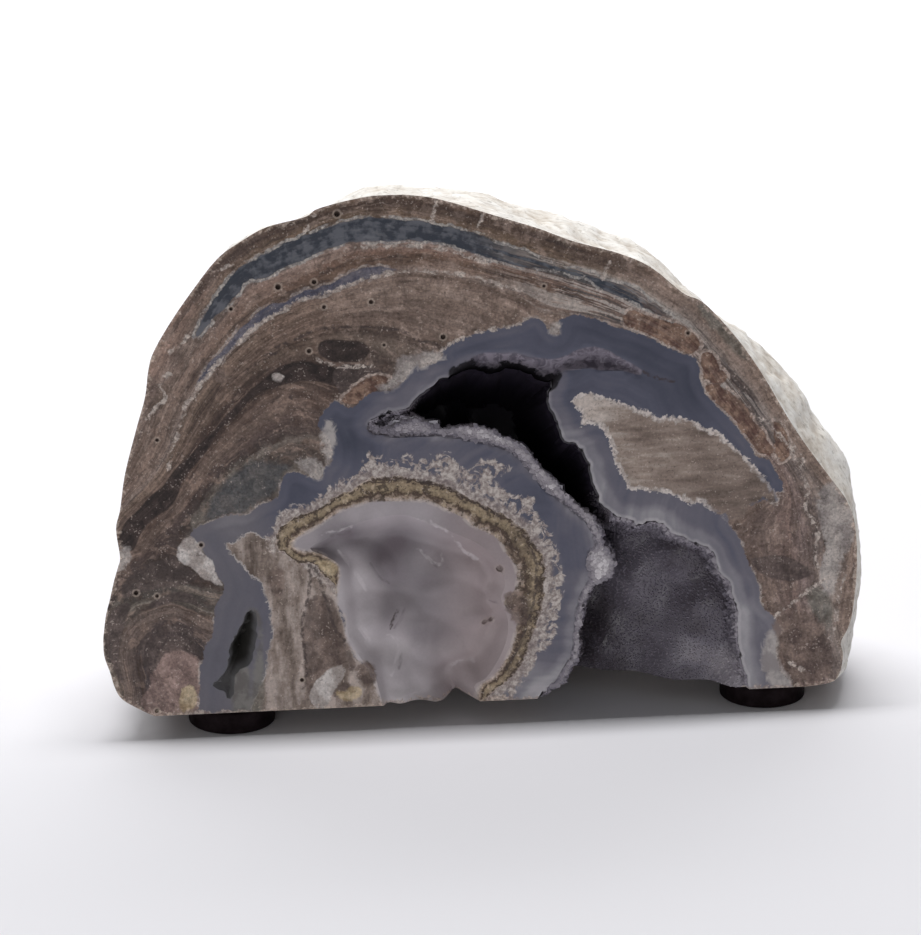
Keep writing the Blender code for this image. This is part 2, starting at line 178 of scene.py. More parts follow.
HOLLOW_DEPTHS = (
    ((385, 421), 5.0), ((440, 405), 15.0), ((500, 400), 20.0), ((560, 445), 20.0), ((590, 500), 18.0),
    ((605, 545), 15.0), ((645, 540), 11.0), ((695, 562), 6.0), ((600, 610), 13.0), ((660, 600), 9.0),
    ((722, 620), 4.0), ((585, 665), 14.0), ((620, 672), 10.0), ((700, 682), 5.0), ((746, 690), 1.0),
    ((560, 720), 14.0),
)
HOLLOW_WALL = math.tan(math.radians(84.0))
HOLLOW_ROWS = (0.07, 0.3)
UNDERCUT = 0.45
UNDERCUT_FROM = 12.0
UNDERCUT_OVER = 20.0
# A shallow dull step above the dark mouth, which runs on to the right as a cleft.
STEP_RIM = (
    (452, 372), (460, 366), (467, 362), (473, 357), (482, 353), (500, 353), (517, 353), (530, 357),
    (540, 358), (553, 359), (565, 356), (573, 352), (583, 348), (597, 347), (608, 350), (618, 356),
    (633, 364), (643, 371), (640, 375), (625, 371), (610, 370), (600, 370), (587, 368), (573, 370),
    (563, 371), (557, 378), (553, 386), (540, 390), (500, 385), (460, 382),
)
STEP_DEPTH = 2.4
STEP_WALL = 1.1
STEP_BLEND = 0.8
# Where crystals stand between the mouth and the polished agate, the stone is a little lower.
DRUSE_FRINGE = (
    (366, 425), (370, 433), (385, 436), (400, 437), (415, 436), (430, 436), (445, 437), (458, 438),
    (470, 441), (485, 444), (500, 448), (512, 453), (521, 462), (530, 472), (540, 486), (550, 494),
    (560, 501), (572, 511), (584, 521), (592, 534), (595, 545), (588, 552), (586, 566), (590, 578),
    (584, 586), (579, 600), (576, 614), (574, 630), (573, 645), (570, 658), (563, 668), (556, 680),
    (545, 690), (560, 690), (575, 665), (583, 645), (584, 620), (590, 598), (600, 584), (614, 574),
    (615, 560), (606, 545), (600, 528), (590, 512), (575, 500), (560, 485), (545, 470), (532, 455),
    (515, 440), (495, 428), (470, 424), (440, 426), (420, 418), (400, 420), (385, 427), (372, 422),
)
DRUSE_SEAT = 0.8
DRUSE_SEAT_SLOPE = 1.3
BOWL_RIM = (
    (310, 548), (335, 534), (352, 525), (380, 517), (405, 515), (428, 523), (452, 532), (480, 545),
    (497, 562), (505, 583), (501, 600), (508, 620), (506, 642), (497, 662), (486, 678), (474, 686),
    (480, 700), (482, 735), (440, 735), (441, 708), (425, 711), (395, 714), (385, 708), (380, 694),
    (373, 671), (362, 660), (350, 640), (345, 617), (341, 590), (339, 566), (325, 556),
)
BOWL_DEPTHS = (
    ((335, 545), 2.0), ((360, 580), 4.2), ((395, 545), 6.0), ((440, 560), 5.4), ((480, 575), 3.2),
    ((400, 600), 6.2), ((440, 610), 5.2), ((480, 620), 3.4), ((365, 630), 3.4), ((400, 650), 5.6),
    ((450, 650), 5.8), ((485, 655), 4.2), ((395, 685), 2.4), ((425, 685), 3.6), ((455, 682), 6.4),
    ((466, 700), 7.4), ((400, 704), 0.8), ((466, 730), 7.4),
)
BOWL_WALL = math.tan(math.radians(65.0))
BOWL_BLEND, BOWL_POWER = 1.2, 2.5
BOWL_LUMP_ROUNDNESS = 0.8
BOWL_LUMPS = (
    ((395, 590), 9.0, 1.4), ((360, 580), 6.0, 1.0), ((430, 560), 6.5, 1.1), ((470, 590), 7.0, 1.2),
    ((450, 630), 7.0, 1.3), ((480, 650), 5.5, 1.0), ((390, 640), 6.0, 1.2), ((425, 670), 7.0, 1.2),
    ((370, 625), 4.5, 0.9),
)
SLIT_RIM = (
    (249, 608), (255, 614), (257, 623), (256, 645), (252, 658), (249, 665), (240, 669), (235, 680),
    (234, 692), (230, 699), (224, 691), (216, 690), (214, 684), (222, 676), (228, 668), (229, 655),
    (231, 645), (237, 634), (243, 622),
)
SLIT_DEPTHS = (
    ((247, 625), 6.0), ((243, 648), 6.5), ((238, 662), 5.0), ((228, 680), 1.6), ((220, 686), 1.0),
    ((232, 694), 1.2),
)
SLIT_WALL = 3.0
SLIT_BLEND = 1.0
# Small round pits, each with its radius and depth.
PIT_CORNERS = 10
PIT_RINGS = (1.0, 0.72, 0.36)
PIT_CLEAR = 0.2
PITS = (
    ((278, 287), 0.40, 0.6), ((314, 282), 0.32, 0.5), ((231, 309), 0.25, 0.4), ((324, 307), 0.28, 0.4),
    ((309, 351), 0.30, 0.4), ((337, 214), 0.42, 0.6), ((443, 337), 0.36, 0.5), ((371, 302), 0.30, 0.4),
    ((136, 593), 0.34, 0.6), ((157, 596), 0.26, 0.4), ((157, 711), 0.30, 0.4), ((500, 569), 0.50, 0.5),
    ((486, 627), 0.42, 0.4), ((493, 626), 0.36, 0.4), ((302, 680), 0.28, 0.4), ((544, 286), 0.22, 0.3),
    ((201, 545), 0.28, 0.4), ((384, 345), 0.20, 0.3), ((688, 333), 0.25, 0.3), ((157, 440), 0.25, 0.3),
)


def rounded(outline, spacing, closed=True):
    """A smooth curve through an outline's corners, as points at even steps."""
    count = len(outline)
    steps = np.linspace(0.0, 1.0, 6, endpoint=False)[:, None]
    parts = []
    for index in range(count if closed else count - 1):
        if closed:
            before, start, end, after = (outline[(index + offset) % count] for offset in (-1, 0, 1, 2))
        else:
            before, start, end, after = (
                outline[min(max(index + offset, 0), count - 1)] for offset in (-1, 0, 1, 2)
            )
        parts.append(0.5 * (
            2 * start + (end - before) * steps + (2 * before - 5 * start + 4 * end - after) * steps ** 2
            + (3 * start - before - 3 * end + after) * steps ** 3
        ))
    if not closed:
        parts.append(outline[-1:])
    return even_points(np.vstack(parts), spacing, closed)


def line_distance(points, line, closed=True):
    """Each point's distance from a line through given corners."""
    ends = np.roll(line, -1, axis=0) if closed else line[1:]
    starts = line if closed else line[:-1]
    sides = ends - starts
    lengths = (sides * sides).sum(axis=1)
    nearest = np.full(len(points), 1e9)
    for start, side, length in zip(starts, sides, lengths):
        offsets = points - start
        share = np.clip(offsets @ side / length, 0.0, 1.0)
        offsets -= share[:, None] * side
        np.minimum(nearest, (offsets * offsets).sum(axis=1), out=nearest)
    return np.sqrt(nearest)


def rim_distance(points, outline):
    """Each point's distance inside a closed outline, negative outside it."""
    inside = np.zeros(len(points), bool)
    for start, end in zip(outline, np.roll(outline, -1, axis=0)):
        straddles = (start[1] > points[:, 1]) != (end[1] > points[:, 1])
        rise = end[1] - start[1]
        if abs(rise) > 1e-12:
            crossing = start[0] + (points[:, 1] - start[1]) / rise * (end[0] - start[0])
            inside ^= straddles & (points[:, 0] < crossing)
    distance = line_distance(points, outline)
    return np.where(inside, distance, -distance)


def smooth_step(value):
    """A share from 0 to 1 that starts and ends gently."""
    value = np.clip(value, 0.0, 1.0)
    return value * value * (3.0 - 2.0 * value)


def soft_least(first, second, blend):
    """The lesser of two depths, with the corner between them rounded."""
    gap = np.clip(0.5 + 0.5 * (second - first) / blend, 0.0, 1.0)
    return second + (first - second) * gap - blend * gap * (1.0 - gap)


def blended(plan, readings, power=3):
    """A value at each point, such as a hollow's depth, blended between those read across the face."""
    places = on_face([pixel for pixel, _ in readings])
    values = np.array([value for _, value in readings])
    away = np.linalg.norm(plan[:, None, :] - places[None, :, :], axis=2)
    weights = 1.0 / (away + 0.5) ** power
    return (weights * values).sum(axis=1) / weights.sum(axis=1)


def bumps(points, size):
    """Smooth noise at each point, about -1 to 1, with features of a given size."""
    return np.array([noise.noise(Vector(point) / size) for point in points])


def ragged_rim(outline, seed):
    """A rim of broken crystal: a smooth curve, knocked a little out of line above the base."""
    rim = rounded(on_face(outline), RIM_STEP)
    knocks = np.random.default_rng(seed).normal(0.0, RIM_RAGGED, rim.shape)
    return rim + np.clip(knocks, -RIM_RAGGED_MOST, RIM_RAGGED_MOST) * (rim[:, 1:] > RIM_RAGGED_ABOVE)


hollow_rim = ragged_rim(HOLLOW_RIM, HOLLOW_RIM_SEED)
step_rim = rounded(on_face(STEP_RIM), RIM_STEP)
bowl_rim = rounded(on_face(BOWL_RIM), RIM_STEP)
slit_rim = ragged_rim(SLIT_RIM, SLIT_RIM_SEED)
fringe_rim = rounded(on_face(DRUSE_FRINGE), RIM_STEP)


def hollow_depth(plan, inset=0.0):
    """The main hollow's surface behind the face, or one drawn in from it by an inset."""
    wall = (rim_distance(plan, hollow_rim) - inset) * HOLLOW_WALL
    return np.minimum(wall, blended(plan, HOLLOW_DEPTHS)) - inset


def druse_reach(plan):
    """The distance inside the area that crystals cover: the mouth and the fringe below it."""
    return np.maximum(rim_distance(plan, hollow_rim), rim_distance(plan, fringe_rim))


def bowl_depth(plan):
    """The milky bowl behind the face, with the rounded lobes that stand up in it."""
    wall = rim_distance(plan, bowl_rim) * BOWL_WALL
    depth = soft_least(wall, blended(plan, BOWL_DEPTHS, BOWL_POWER), BOWL_BLEND)
    for pixel, radius, height in BOWL_LUMPS:
        away = np.linalg.norm(plan - on_face([pixel]), axis=1) / radius
        lump = height * np.clip(1.0 - away ** 2, 0.0, 1.0) ** BOWL_LUMP_ROUNDNESS
        depth -= np.minimum(lump, 0.5 * np.maximum(depth, 0.0))
    return depth


def face_depth(plan):
    """How far the stone's front surface lies behind the face plane."""
    step = soft_least(rim_distance(plan, step_rim) * STEP_WALL, STEP_DEPTH, STEP_BLEND)
    step = np.minimum(step, STEP_DEPTH)
    slit = soft_least(rim_distance(plan, slit_rim) * SLIT_WALL, blended(plan, SLIT_DEPTHS), SLIT_BLEND)
    seat = np.clip(druse_reach(plan) * DRUSE_SEAT_SLOPE, 0.0, DRUSE_SEAT)
    depth = np.maximum.reduce([hollow_depth(plan), step, bowl_depth(plan), slit, seat])
    for pixel, radius, hole in PITS:
        away = np.linalg.norm(plan - on_face([pixel]), axis=1) / radius
        depth += hole * np.sqrt(np.clip(1.0 - away ** 2, 0.0, 1.0))
    return depth


def undercut(plan, depth):
    """Plan points moved down with depth, fully in the dark mouth and not at all near the base."""
    share = smooth_step((plan[:, 1] - UNDERCUT_FROM) / UNDERCUT_OVER)
    return np.column_stack([plan[:, 0], plan[:, 1] - UNDERCUT * depth * share])


def place(plan, depth):
    """Face millimetres and a depth behind the face, as points of the stone, in millimetres."""
    return shift + np.column_stack([
        plan[:, 0],
        plan[:, 1] * math.sin(FACE_LEAN) + depth,
        plan[:, 1] * math.cos(FACE_LEAN) + BASE_HEIGHT,
    ])


def staggered(low, high, spacing):
    """A staggered grid of points over a box."""
    rows = []
    for row, up in enumerate(np.arange(low[1], high[1], spacing * math.sqrt(0.75))):
        across = np.arange(low[0] + (row % 2) * spacing / 2, high[0], spacing)
        rows.append(np.column_stack([across, np.full(len(across), up)]))
    return np.vstack(rows)


def fill(loop, lines, loose):
    """Triangles inside a closed loop of points, which keep to given lines and use loose points as well."""
    points = [loop]
    edges = [(index, (index + 1) % len(loop)) for index in range(len(loop))]
    count = len(loop)
    for line, closed in lines:
        points.append(line)
        edges += [(count + index, count + index + 1) for index in range(len(line) - 1)]
        if closed:
            edges.append((count + len(line) - 1, count))
        count += len(line)
    points = np.vstack(points + [loose])
    found = delaunay_2d_cdt([Vector(point) for point in points], edges, [], 1, 1e-7)
    return np.array([tuple(point) for point in found[0]]), np.array(found[2])


def above_base(rim):
    """The stretches of a closed rim above the base, with the points where it meets the base."""
    start = int(np.argmin(rim[:, 1]))
    rim = np.vstack([np.roll(rim, -start, axis=0), rim[start]])
    if rim[0, 1] > 0:
        return [(rim[:-1], True)], []
    runs, feet, run = [], [], []
    for here, there in zip(rim[:-1], rim[1:]):
        if (here[1] > 0) != (there[1] > 0):
            foot = here + (there - here) * here[1] / (here[1] - there[1])
            foot[1] = 0.0
            feet.append(foot)
            run.append(foot)
            if here[1] > 0:
                runs.append((np.array(run), False))
                run = []
        if there[1] > 0:
            run.append(there)
    return runs, feet


def across_rim(sides):
    """Unit steps across a rim, square to its sides."""
    return np.column_stack([-sides[:, 1], sides[:, 0]]) / np.linalg.norm(sides, axis=1)[:, None]


arch = even_points(rounded(face_edge, EDGE_STEP, closed=False), RIM_STEP, closed=False)
arch[[0, -1], 1] = 0.0
lines, feet = [], []
for rim in (hollow_rim, bowl_rim, slit_rim):
    runs, ends = above_base(rim)
    lines += runs
    feet += ends
rows = []
for inset in HOLLOW_ROWS:
    sides = np.roll(hollow_rim, -1, axis=0) - hollow_rim
    row = hollow_rim + sides / 2 + across_rim(sides) * inset
    if rim_distance(row, hollow_rim).mean() < 0:
        row = hollow_rim + sides / 2 - across_rim(sides) * inset
    rows.append(row[(rim_distance(row, hollow_rim) > 0.8 * inset) & (row[:, 1] > 0.1)])
for pixel, radius, _ in PITS:
    turns = np.arange(PIT_CORNERS) * math.tau / PIT_CORNERS
    ring = np.column_stack([np.cos(turns), np.sin(turns)])
    centre = on_face([pixel])
    rows += [centre + ring * radius * share for share in PIT_RINGS] + [centre]
rows = np.vstack(rows)
base_across = np.arange(arch[-1, 0] - RIM_STEP, arch[0, 0] + 0.3 * RIM_STEP, -RIM_STEP)
base_line = np.column_stack([base_across, np.zeros(len(base_across))])
keep = np.min(np.abs(base_line[:, :1] - np.array(feet)[:, 0]), axis=1) > BASE_FOOT_CLEAR
base_line = np.vstack([base_line[keep], feet])
base_line = base_line[np.argsort(-base_line[:, 0])]
loop = np.vstack([arch, base_line])
grid = staggered(loop.min(axis=0), loop.max(axis=0), GRID_STEP)
grid = grid[rim_distance(grid, loop) > 0.5 * GRID_STEP]
near = np.zeros(len(grid), bool)
for rim in (hollow_rim, bowl_rim, slit_rim):
    near |= line_distance(grid, rim) < RIM_CLEAR
for pixel, radius, _ in PITS:
    near |= np.linalg.norm(grid - on_face([pixel]), axis=1) < radius + PIT_CLEAR
front_plan, front_faces = fill(loop, lines, np.vstack([rows, grid[~near]]))
front_depth = face_depth(front_plan)
front = place(undercut(front_plan, front_depth), front_depth)

# Behind the face the rind swells a little, then closes as the CAD part does, with finer roughness added.
centre = np.array([BODY_CENTRE, 0.0])
rind_edge = on_face(RIND_OUTLINE, RIND_DEPTH)
rind_edge[[0, -1], 1] = 0.0
rind_edge = rounded(rind_edge, RIND_EDGE_STEP, closed=False)
rind_edge = even_points(rind_edge, RIND_EDGE_STEP, closed=False) - centre
rind_angles = np.arctan2(rind_edge[:, 1], rind_edge[:, 0])
rind_order = np.argsort(rind_angles)


def rind_reach(turns):
    """How far the rind's widest ring lies from the body's centre, at given turns round it."""
    return np.interp(turns, rind_angles[rind_order], np.linalg.norm(rind_edge, axis=1)[rind_order])


def closed_share(closing):
    """How wide the rind still is, or how deep it has come, as its rounded back closes."""
    return (1.0 - closing ** BODY_ROUNDNESS) ** (1.0 / BODY_ROUNDNESS)


def roughness_of(points):
    """How far the rind stands out from its smooth form: lumps, ledges, and finer chips and grains."""
    lumps = bumps(points, LUMP_SIZE) * LUMP_HEIGHT + bumps(points, LEDGE_SIZE) * LEDGE_HEIGHT
    chips = np.abs(bumps(points + CHIP_SHIFT, CHIP_SIZE)) * CHIP_HEIGHT
    chips = chips + bumps(points, GRAIN_SIZE) * GRAIN_HEIGHT
    depth = points[:, 2]
    return lumps * smooth_step(depth / LUMPS_FROM) - chips * smooth_step(depth / CHIPS_FROM)


arch_offsets = arch - centre
arch_turns = np.arctan2(np.abs(arch_offsets[:, 1]), arch_offsets[:, 0])
arch_outward = np.column_stack([np.cos(arch_turns), np.sin(arch_turns)])
arch_reach = np.linalg.norm(arch_offsets, axis=1)
ring_depths = np.arange(RIND_NEXT_RING, CAP_DEPTH, RIND_STEP)
ring_depths = np.concatenate([RIND_FIRST_RINGS, ring_depths, [CAP_DEPTH]])
rings = []
for depth in ring_depths:
    if depth < RIND_DEPTH:
        swollen = 1.0 - (1.0 - depth / RIND_DEPTH) ** 2
        reach = arch_reach + (rind_reach(arch_turns) - arch_reach) * swollen
    else:
        closing = (depth - RIND_DEPTH) / (BODY_DEPTH - RIND_DEPTH)
        reach = rind_reach(arch_turns) * closed_share(closing)
    points = np.column_stack([centre + arch_outward * reach[:, None], np.full(len(arch), depth)])
    plan = centre + arch_outward * (reach + roughness_of(points))[:, None]
    plan[[0, -1], 1] = 0.0
    rings.append(plan)
cap_base = np.arange(rings[-1][-1, 0] - CAP_EDGE_STEP, rings[-1][0, 0] + CAP_EDGE_STEP / 3, -CAP_EDGE_STEP)
cap_loop = np.vstack([rings[-1], np.column_stack([cap_base, np.zeros(len(cap_base))])])
cap_grid = staggered(cap_loop.min(axis=0), cap_loop.max(axis=0), CAP_STEP)
cap_grid = cap_grid[rim_distance(cap_grid, cap_loop) > CAP_CLEAR]
cap_plan, cap_faces = fill(cap_loop, [], cap_grid)
offsets = cap_plan - centre
turns = np.arctan2(np.abs(offsets[:, 1]), offsets[:, 0])
share = np.linalg.norm(offsets, axis=1) / rind_reach(turns)
smooth_depth = RIND_DEPTH + (BODY_DEPTH - RIND_DEPTH) * closed_share(np.minimum(share, 1.0))
raised = roughness_of(np.column_stack([cap_plan, smooth_depth]))
share = np.clip(share - raised / rind_reach(turns), 0.0, 1.0)
cap_depth = RIND_DEPTH + (BODY_DEPTH - RIND_DEPTH) * closed_share(share)
past_cap = cap_depth - CAP_DEPTH
cap_depth = np.where(past_cap > 0.0, CAP_DEPTH + past_cap * CAP_FLATTENING, cap_depth)
cap_depth += bumps(np.column_stack([cap_plan, cap_depth]), GRAIN_SIZE) * CAP_GRAIN_HEIGHT
cap_depth[:len(arch)] = CAP_DEPTH

# The three surfaces share their edges: the arch, the last ring, and the line round the base.
parts = [front] + [place(plan, np.full(len(plan), depth)) for plan, depth in zip(rings[1:], ring_depths[1:])]
parts.append(place(cap_plan, cap_depth)[len(arch):])
starts = np.cumsum([0] + [len(part) for part in parts])
ring_index = [np.arange(len(arch))] + [start + np.arange(len(arch)) for start in starts[1:-2]]
cap_index = np.concatenate([ring_index[-1], starts[-2] + np.arange(len(cap_plan) - len(arch))])
faces = [tuple(face) for face in front_faces]
kinds = [0] * len(faces)
for ring, deeper in zip(ring_index, ring_index[1:]):
    faces += [(ring[i], ring[i + 1], deeper[i + 1], deeper[i]) for i in range(len(arch) - 1)]
faces += [tuple(cap_index[list(face)]) for face in cap_faces]
kinds += [1] * (len(faces) - len(kinds))
front_base = np.arange(len(arch), len(loop))
cap_side = cap_index[len(arch):len(cap_loop)]
base_loop = np.concatenate([
    [len(arch) - 1], front_base, [0], [ring[0] for ring in ring_index[1:]], cap_side[::-1],
    [ring[-1] for ring in ring_index[:0:-1]],
])
points = np.vstack(parts)
base_outline = points[base_loop][:, :2]
base_grid = staggered(base_outline.min(axis=0), base_outline.max(axis=0), BASE_STEP)
base_grid = base_grid[rim_distance(base_grid, base_outline) > BASE_CLEAR]
base_plan, base_faces = fill(base_outline, [], base_grid)
base_middle = base_plan[len(base_loop):]
base_index = np.concatenate([base_loop, len(points) + np.arange(len(base_middle))])
points = np.vstack([points, np.column_stack([base_middle, np.full(len(base_middle), BASE_HEIGHT)])])
faces += [tuple(base_index[list(face)]) for face in base_faces]
kinds += [2] * (len(faces) - len(kinds))
points = np.clip(points, nodule_low, nodule_high)
stone_data = bpy.data.meshes.new("geode_stone")
stone_faces = [tuple(int(i) for i in face) for face in faces]
stone_data.from_pydata([tuple(point) for point in points * MM], [], stone_faces)
stone_data.polygons.foreach_set("material_index", kinds)
mesh = bmesh.new()
mesh.from_mesh(stone_data)
bmesh.ops.recalc_face_normals(mesh, faces=mesh.faces)
mesh.to_mesh(stone_data)
mesh.free()
stone = bpy.data.objects.new("geode_stone", stone_data)
bpy.context.scene.collection.objects.link(stone)

# Where the stone's colours lie. Each outline is read along a colour's edge, and the distance in
# millimetres inside it is kept on the face's points.
BLUE_BAND = (
    (196, 338), (203, 317), (215, 297), (223, 287), (235, 271), (242, 266), (250, 261), (267, 253),
    (285, 243), (300, 237), (315, 232), (333, 225), (350, 221), (365, 217), (383, 218), (403, 220),
    (430, 223), (447, 227), (460, 230), (477, 233), (490, 240), (507, 247), (523, 250), (537, 257),
    (548, 262), (560, 268), (587, 270), (600, 278), (621, 284), (635, 288), (645, 298), (655, 303),
    (661, 308), (676, 320), (669, 319), (652, 312), (635, 303), (600, 289), (590, 280), (573, 275),
    (557, 270), (523, 267), (507, 263), (490, 259), (470, 252), (457, 248), (443, 243), (427, 242),
    (410, 240), (390, 242), (373, 241), (360, 242), (347, 243), (330, 249), (320, 252), (305, 260),
    (290, 265), (277, 272), (267, 277), (250, 280), (245, 283), (242, 288), (230, 303), (223, 310),
    (205, 328),
)
PURPLE_BAND = (
    (196, 384), (207, 365), (215, 358), (225, 348), (233, 337), (242, 327), (253, 318), (262, 309),
    (272, 304), (283, 303), (292, 297), (305, 290), (317, 288), (333, 282), (350, 273), (362, 268),
    (377, 266), (390, 268), (400, 271), (387, 273), (373, 277), (362, 280), (347, 285), (333, 291),
    (320, 296), (300, 300), (288, 307), (280, 312), (268, 317), (258, 325), (248, 335), (242, 339),
    (233, 348), (223, 358), (220, 363), (210, 372), (200, 385),
)
BROWN_STREAK = (
    (119, 543), (125, 523), (139, 509), (151, 495), (163, 486), (174, 470), (190, 456), (202, 442),
    (214, 430), (220, 422), (233, 408), (245, 395), (260, 382), (275, 370), (290, 363), (310, 362),
    (323, 365), (340, 367), (357, 368), (373, 365), (360, 377), (340, 387), (323, 383), (310, 381),
    (293, 382), (277, 387), (260, 392), (250, 400), (240, 412), (223, 427), (213, 440), (206, 452),
    (194, 466), (182, 480), (178, 496), (168, 509), (153, 519), (141, 533), (133, 551),
)
EYE_LENS = (
    (320, 342), (333, 339), (350, 341), (362, 342), (370, 350), (365, 358), (357, 362), (345, 362),
    (333, 362), (323, 357), (318, 352),
)
JASPERS = (
    ((342, 401), (349, 391), (360, 382), (374, 376), (386, 375), (390, 380), (380, 388), (368, 397),
     (354, 404)),
    ((622, 319), (631, 310), (645, 314), (659, 319), (674, 322), (688, 329), (699, 339), (700, 348),
     (693, 354), (678, 350), (661, 341), (643, 332), (628, 327)),
    ((702, 353), (712, 353), (719, 364), (727, 377), (721, 384), (707, 381), (702, 372)),
    ((704, 386), (712, 383), (728, 391), (742, 402), (752, 417), (764, 433), (773, 448), (770, 457),
     (756, 450), (742, 431), (728, 414), (714, 402)),
    ((773, 421), (783, 428), (789, 443), (789, 457), (780, 461), (775, 445)),
)
GREEN_ZONE = (
    (218, 490), (230, 478), (242, 468), (252, 462), (274, 462), (294, 466), (284, 473), (280, 486),
    (274, 494), (258, 503), (244, 515), (230, 515), (206, 519), (208, 509), (212, 498),
)
DARK_PATCHES = (
    ((332, 374), (345, 364), (362, 366), (380, 370), (392, 376), (388, 388), (374, 398), (356, 404),
     (343, 398)),
    ((751, 559), (768, 556), (785, 556), (804, 565), (813, 575), (794, 581), (779, 580), (764, 575),
     (756, 569)),
    ((640, 299), (660, 311), (682, 324), (702, 342), (722, 362), (742, 380), (760, 402), (748, 396),
     (728, 378), (708, 360), (690, 344), (668, 328), (648, 312)),
    ((123, 583), (139, 570), (155, 562), (170, 558), (179, 562), (188, 568), (198, 578), (185, 585),
     (160, 588), (140, 592), (124, 598)),
    ((149, 674), (139, 645), (147, 633), (163, 626), (178, 625), (190, 631), (194, 639), (198, 653),
     (185, 652), (170, 654), (160, 662)),
    ((166, 595), (180, 591), (192, 595), (202, 609), (190, 604), (175, 602), (160, 606), (146, 611),
     (150, 602)),
    ((112, 612), (122, 604), (132, 604), (126, 620), (120, 640), (119, 664), (125, 682), (116, 676),
     (109, 655), (108, 630)),
)
PINK_PATCHES = (
    ((161, 660), (166, 653), (180, 650), (190, 655), (200, 659), (199, 678), (198, 694), (194, 708),
     (174, 716), (163, 719), (153, 718), (143, 708), (142, 696), (151, 686), (149, 676), (157, 668)),
)
WHITE_PATCHES = (
    ((182, 541), (190, 535), (200, 545), (206, 557), (214, 561), (216, 577), (224, 585), (214, 583),
     (202, 577), (194, 569), (180, 561), (177, 551)),
    ((310, 701), (312, 688), (323, 675), (335, 666), (345, 667), (343, 680), (335, 688), (323, 712)),
    ((272, 374), (280, 373), (285, 377), (281, 381), (273, 381)),
    ((590, 556), (594, 546), (602, 545), (610, 552), (612, 564), (611, 575), (603, 579), (594, 576)),
)
FLINT_PATCHES = (
    ((398, 358), (410, 354), (425, 352), (440, 353), (444, 357), (432, 362), (424, 366), (418, 368),
     (412, 372), (404, 380), (396, 389), (386, 390), (376, 388), (388, 382), (396, 372)),
    ((322, 425), (328, 420), (334, 424), (336, 436), (333, 450), (331, 464), (325, 464), (323, 450),
     (320, 436)),
    ((296, 462), (306, 457), (318, 461), (323, 470), (321, 480), (314, 480), (306, 474)),
    ((824, 486), (838, 480), (848, 492), (854, 515), (853, 540), (842, 560), (834, 590), (824, 596),
     (820, 570), (826, 545), (820, 520), (818, 500)),
    ((764, 640), (772, 632), (780, 640), (776, 656), (786, 672), (792, 686), (772, 686), (762, 668)),
    ((548, 330), (556, 337), (561, 330), (560, 322), (552, 324)),
    ((118, 548), (128, 546), (132, 556), (124, 566), (116, 572), (118, 560)),
)
OLIVE_PATCHES = (
    ((247, 610), (259, 612), (262, 640), (264, 700), (258, 714), (250, 714), (252, 690), (255, 660),
     (259, 640), (256, 620)),
    ((808, 590), (818, 586), (830, 598), (834, 615), (828, 630), (818, 618), (808, 604)),
    ((232, 668), (246, 664), (250, 676), (250, 696), (256, 714), (236, 716), (232, 700)),
    ((700, 300), (720, 320), (738, 340), (750, 358), (738, 356), (716, 332), (698, 312)),
)
BROWN_PATCHES = (
    ((309, 600), (330, 596), (338, 612), (344, 632), (350, 650), (356, 664), (352, 672), (343, 666),
     (330, 668), (320, 678), (312, 690), (306, 700), (304, 660), (303, 630)),
    ((356, 668), (364, 662), (373, 666), (376, 680), (368, 686), (358, 680)),
    ((268, 572), (280, 568), (286, 578), (284, 592), (276, 596), (270, 588)),
    ((775, 620), (795, 612), (812, 616), (826, 634), (832, 655), (828, 676), (806, 682), (792, 676),
     (784, 658), (778, 640)),
    ((140, 378), (152, 374), (158, 384), (156, 398), (148, 402), (142, 396)),
    ((213, 372), (222, 368), (228, 374), (224, 384), (216, 382)),
    ((505, 595), (516, 592), (528, 598), (530, 612), (524, 625), (512, 620)),
    ((333, 690), (345, 680), (352, 684), (346, 696), (336, 700)),
)
GOLD_PATCHES = (
    ((336, 690), (346, 692), (350, 686), (362, 688), (360, 698), (348, 701), (338, 697)),
    ((182, 690), (194, 686), (197, 700), (192, 710), (180, 711)),
    ((316, 562), (328, 560), (338, 566), (337, 574), (330, 575), (320, 568)),
)
TAN_CENTRE = (
    (232, 545), (250, 533), (266, 541), (275, 541), (287, 555), (310, 563), (323, 575), (337, 590),
    (339, 612), (346, 634), (352, 655), (366, 668), (374, 684), (384, 708), (384, 716), (262, 716),
    (258, 694), (264, 680), (268, 666), (268, 655), (272, 641), (274, 629), (271, 621), (272, 611),
    (268, 601), (264, 587), (260, 578), (254, 578), (250, 573), (242, 563), (232, 553), (226, 543),
)
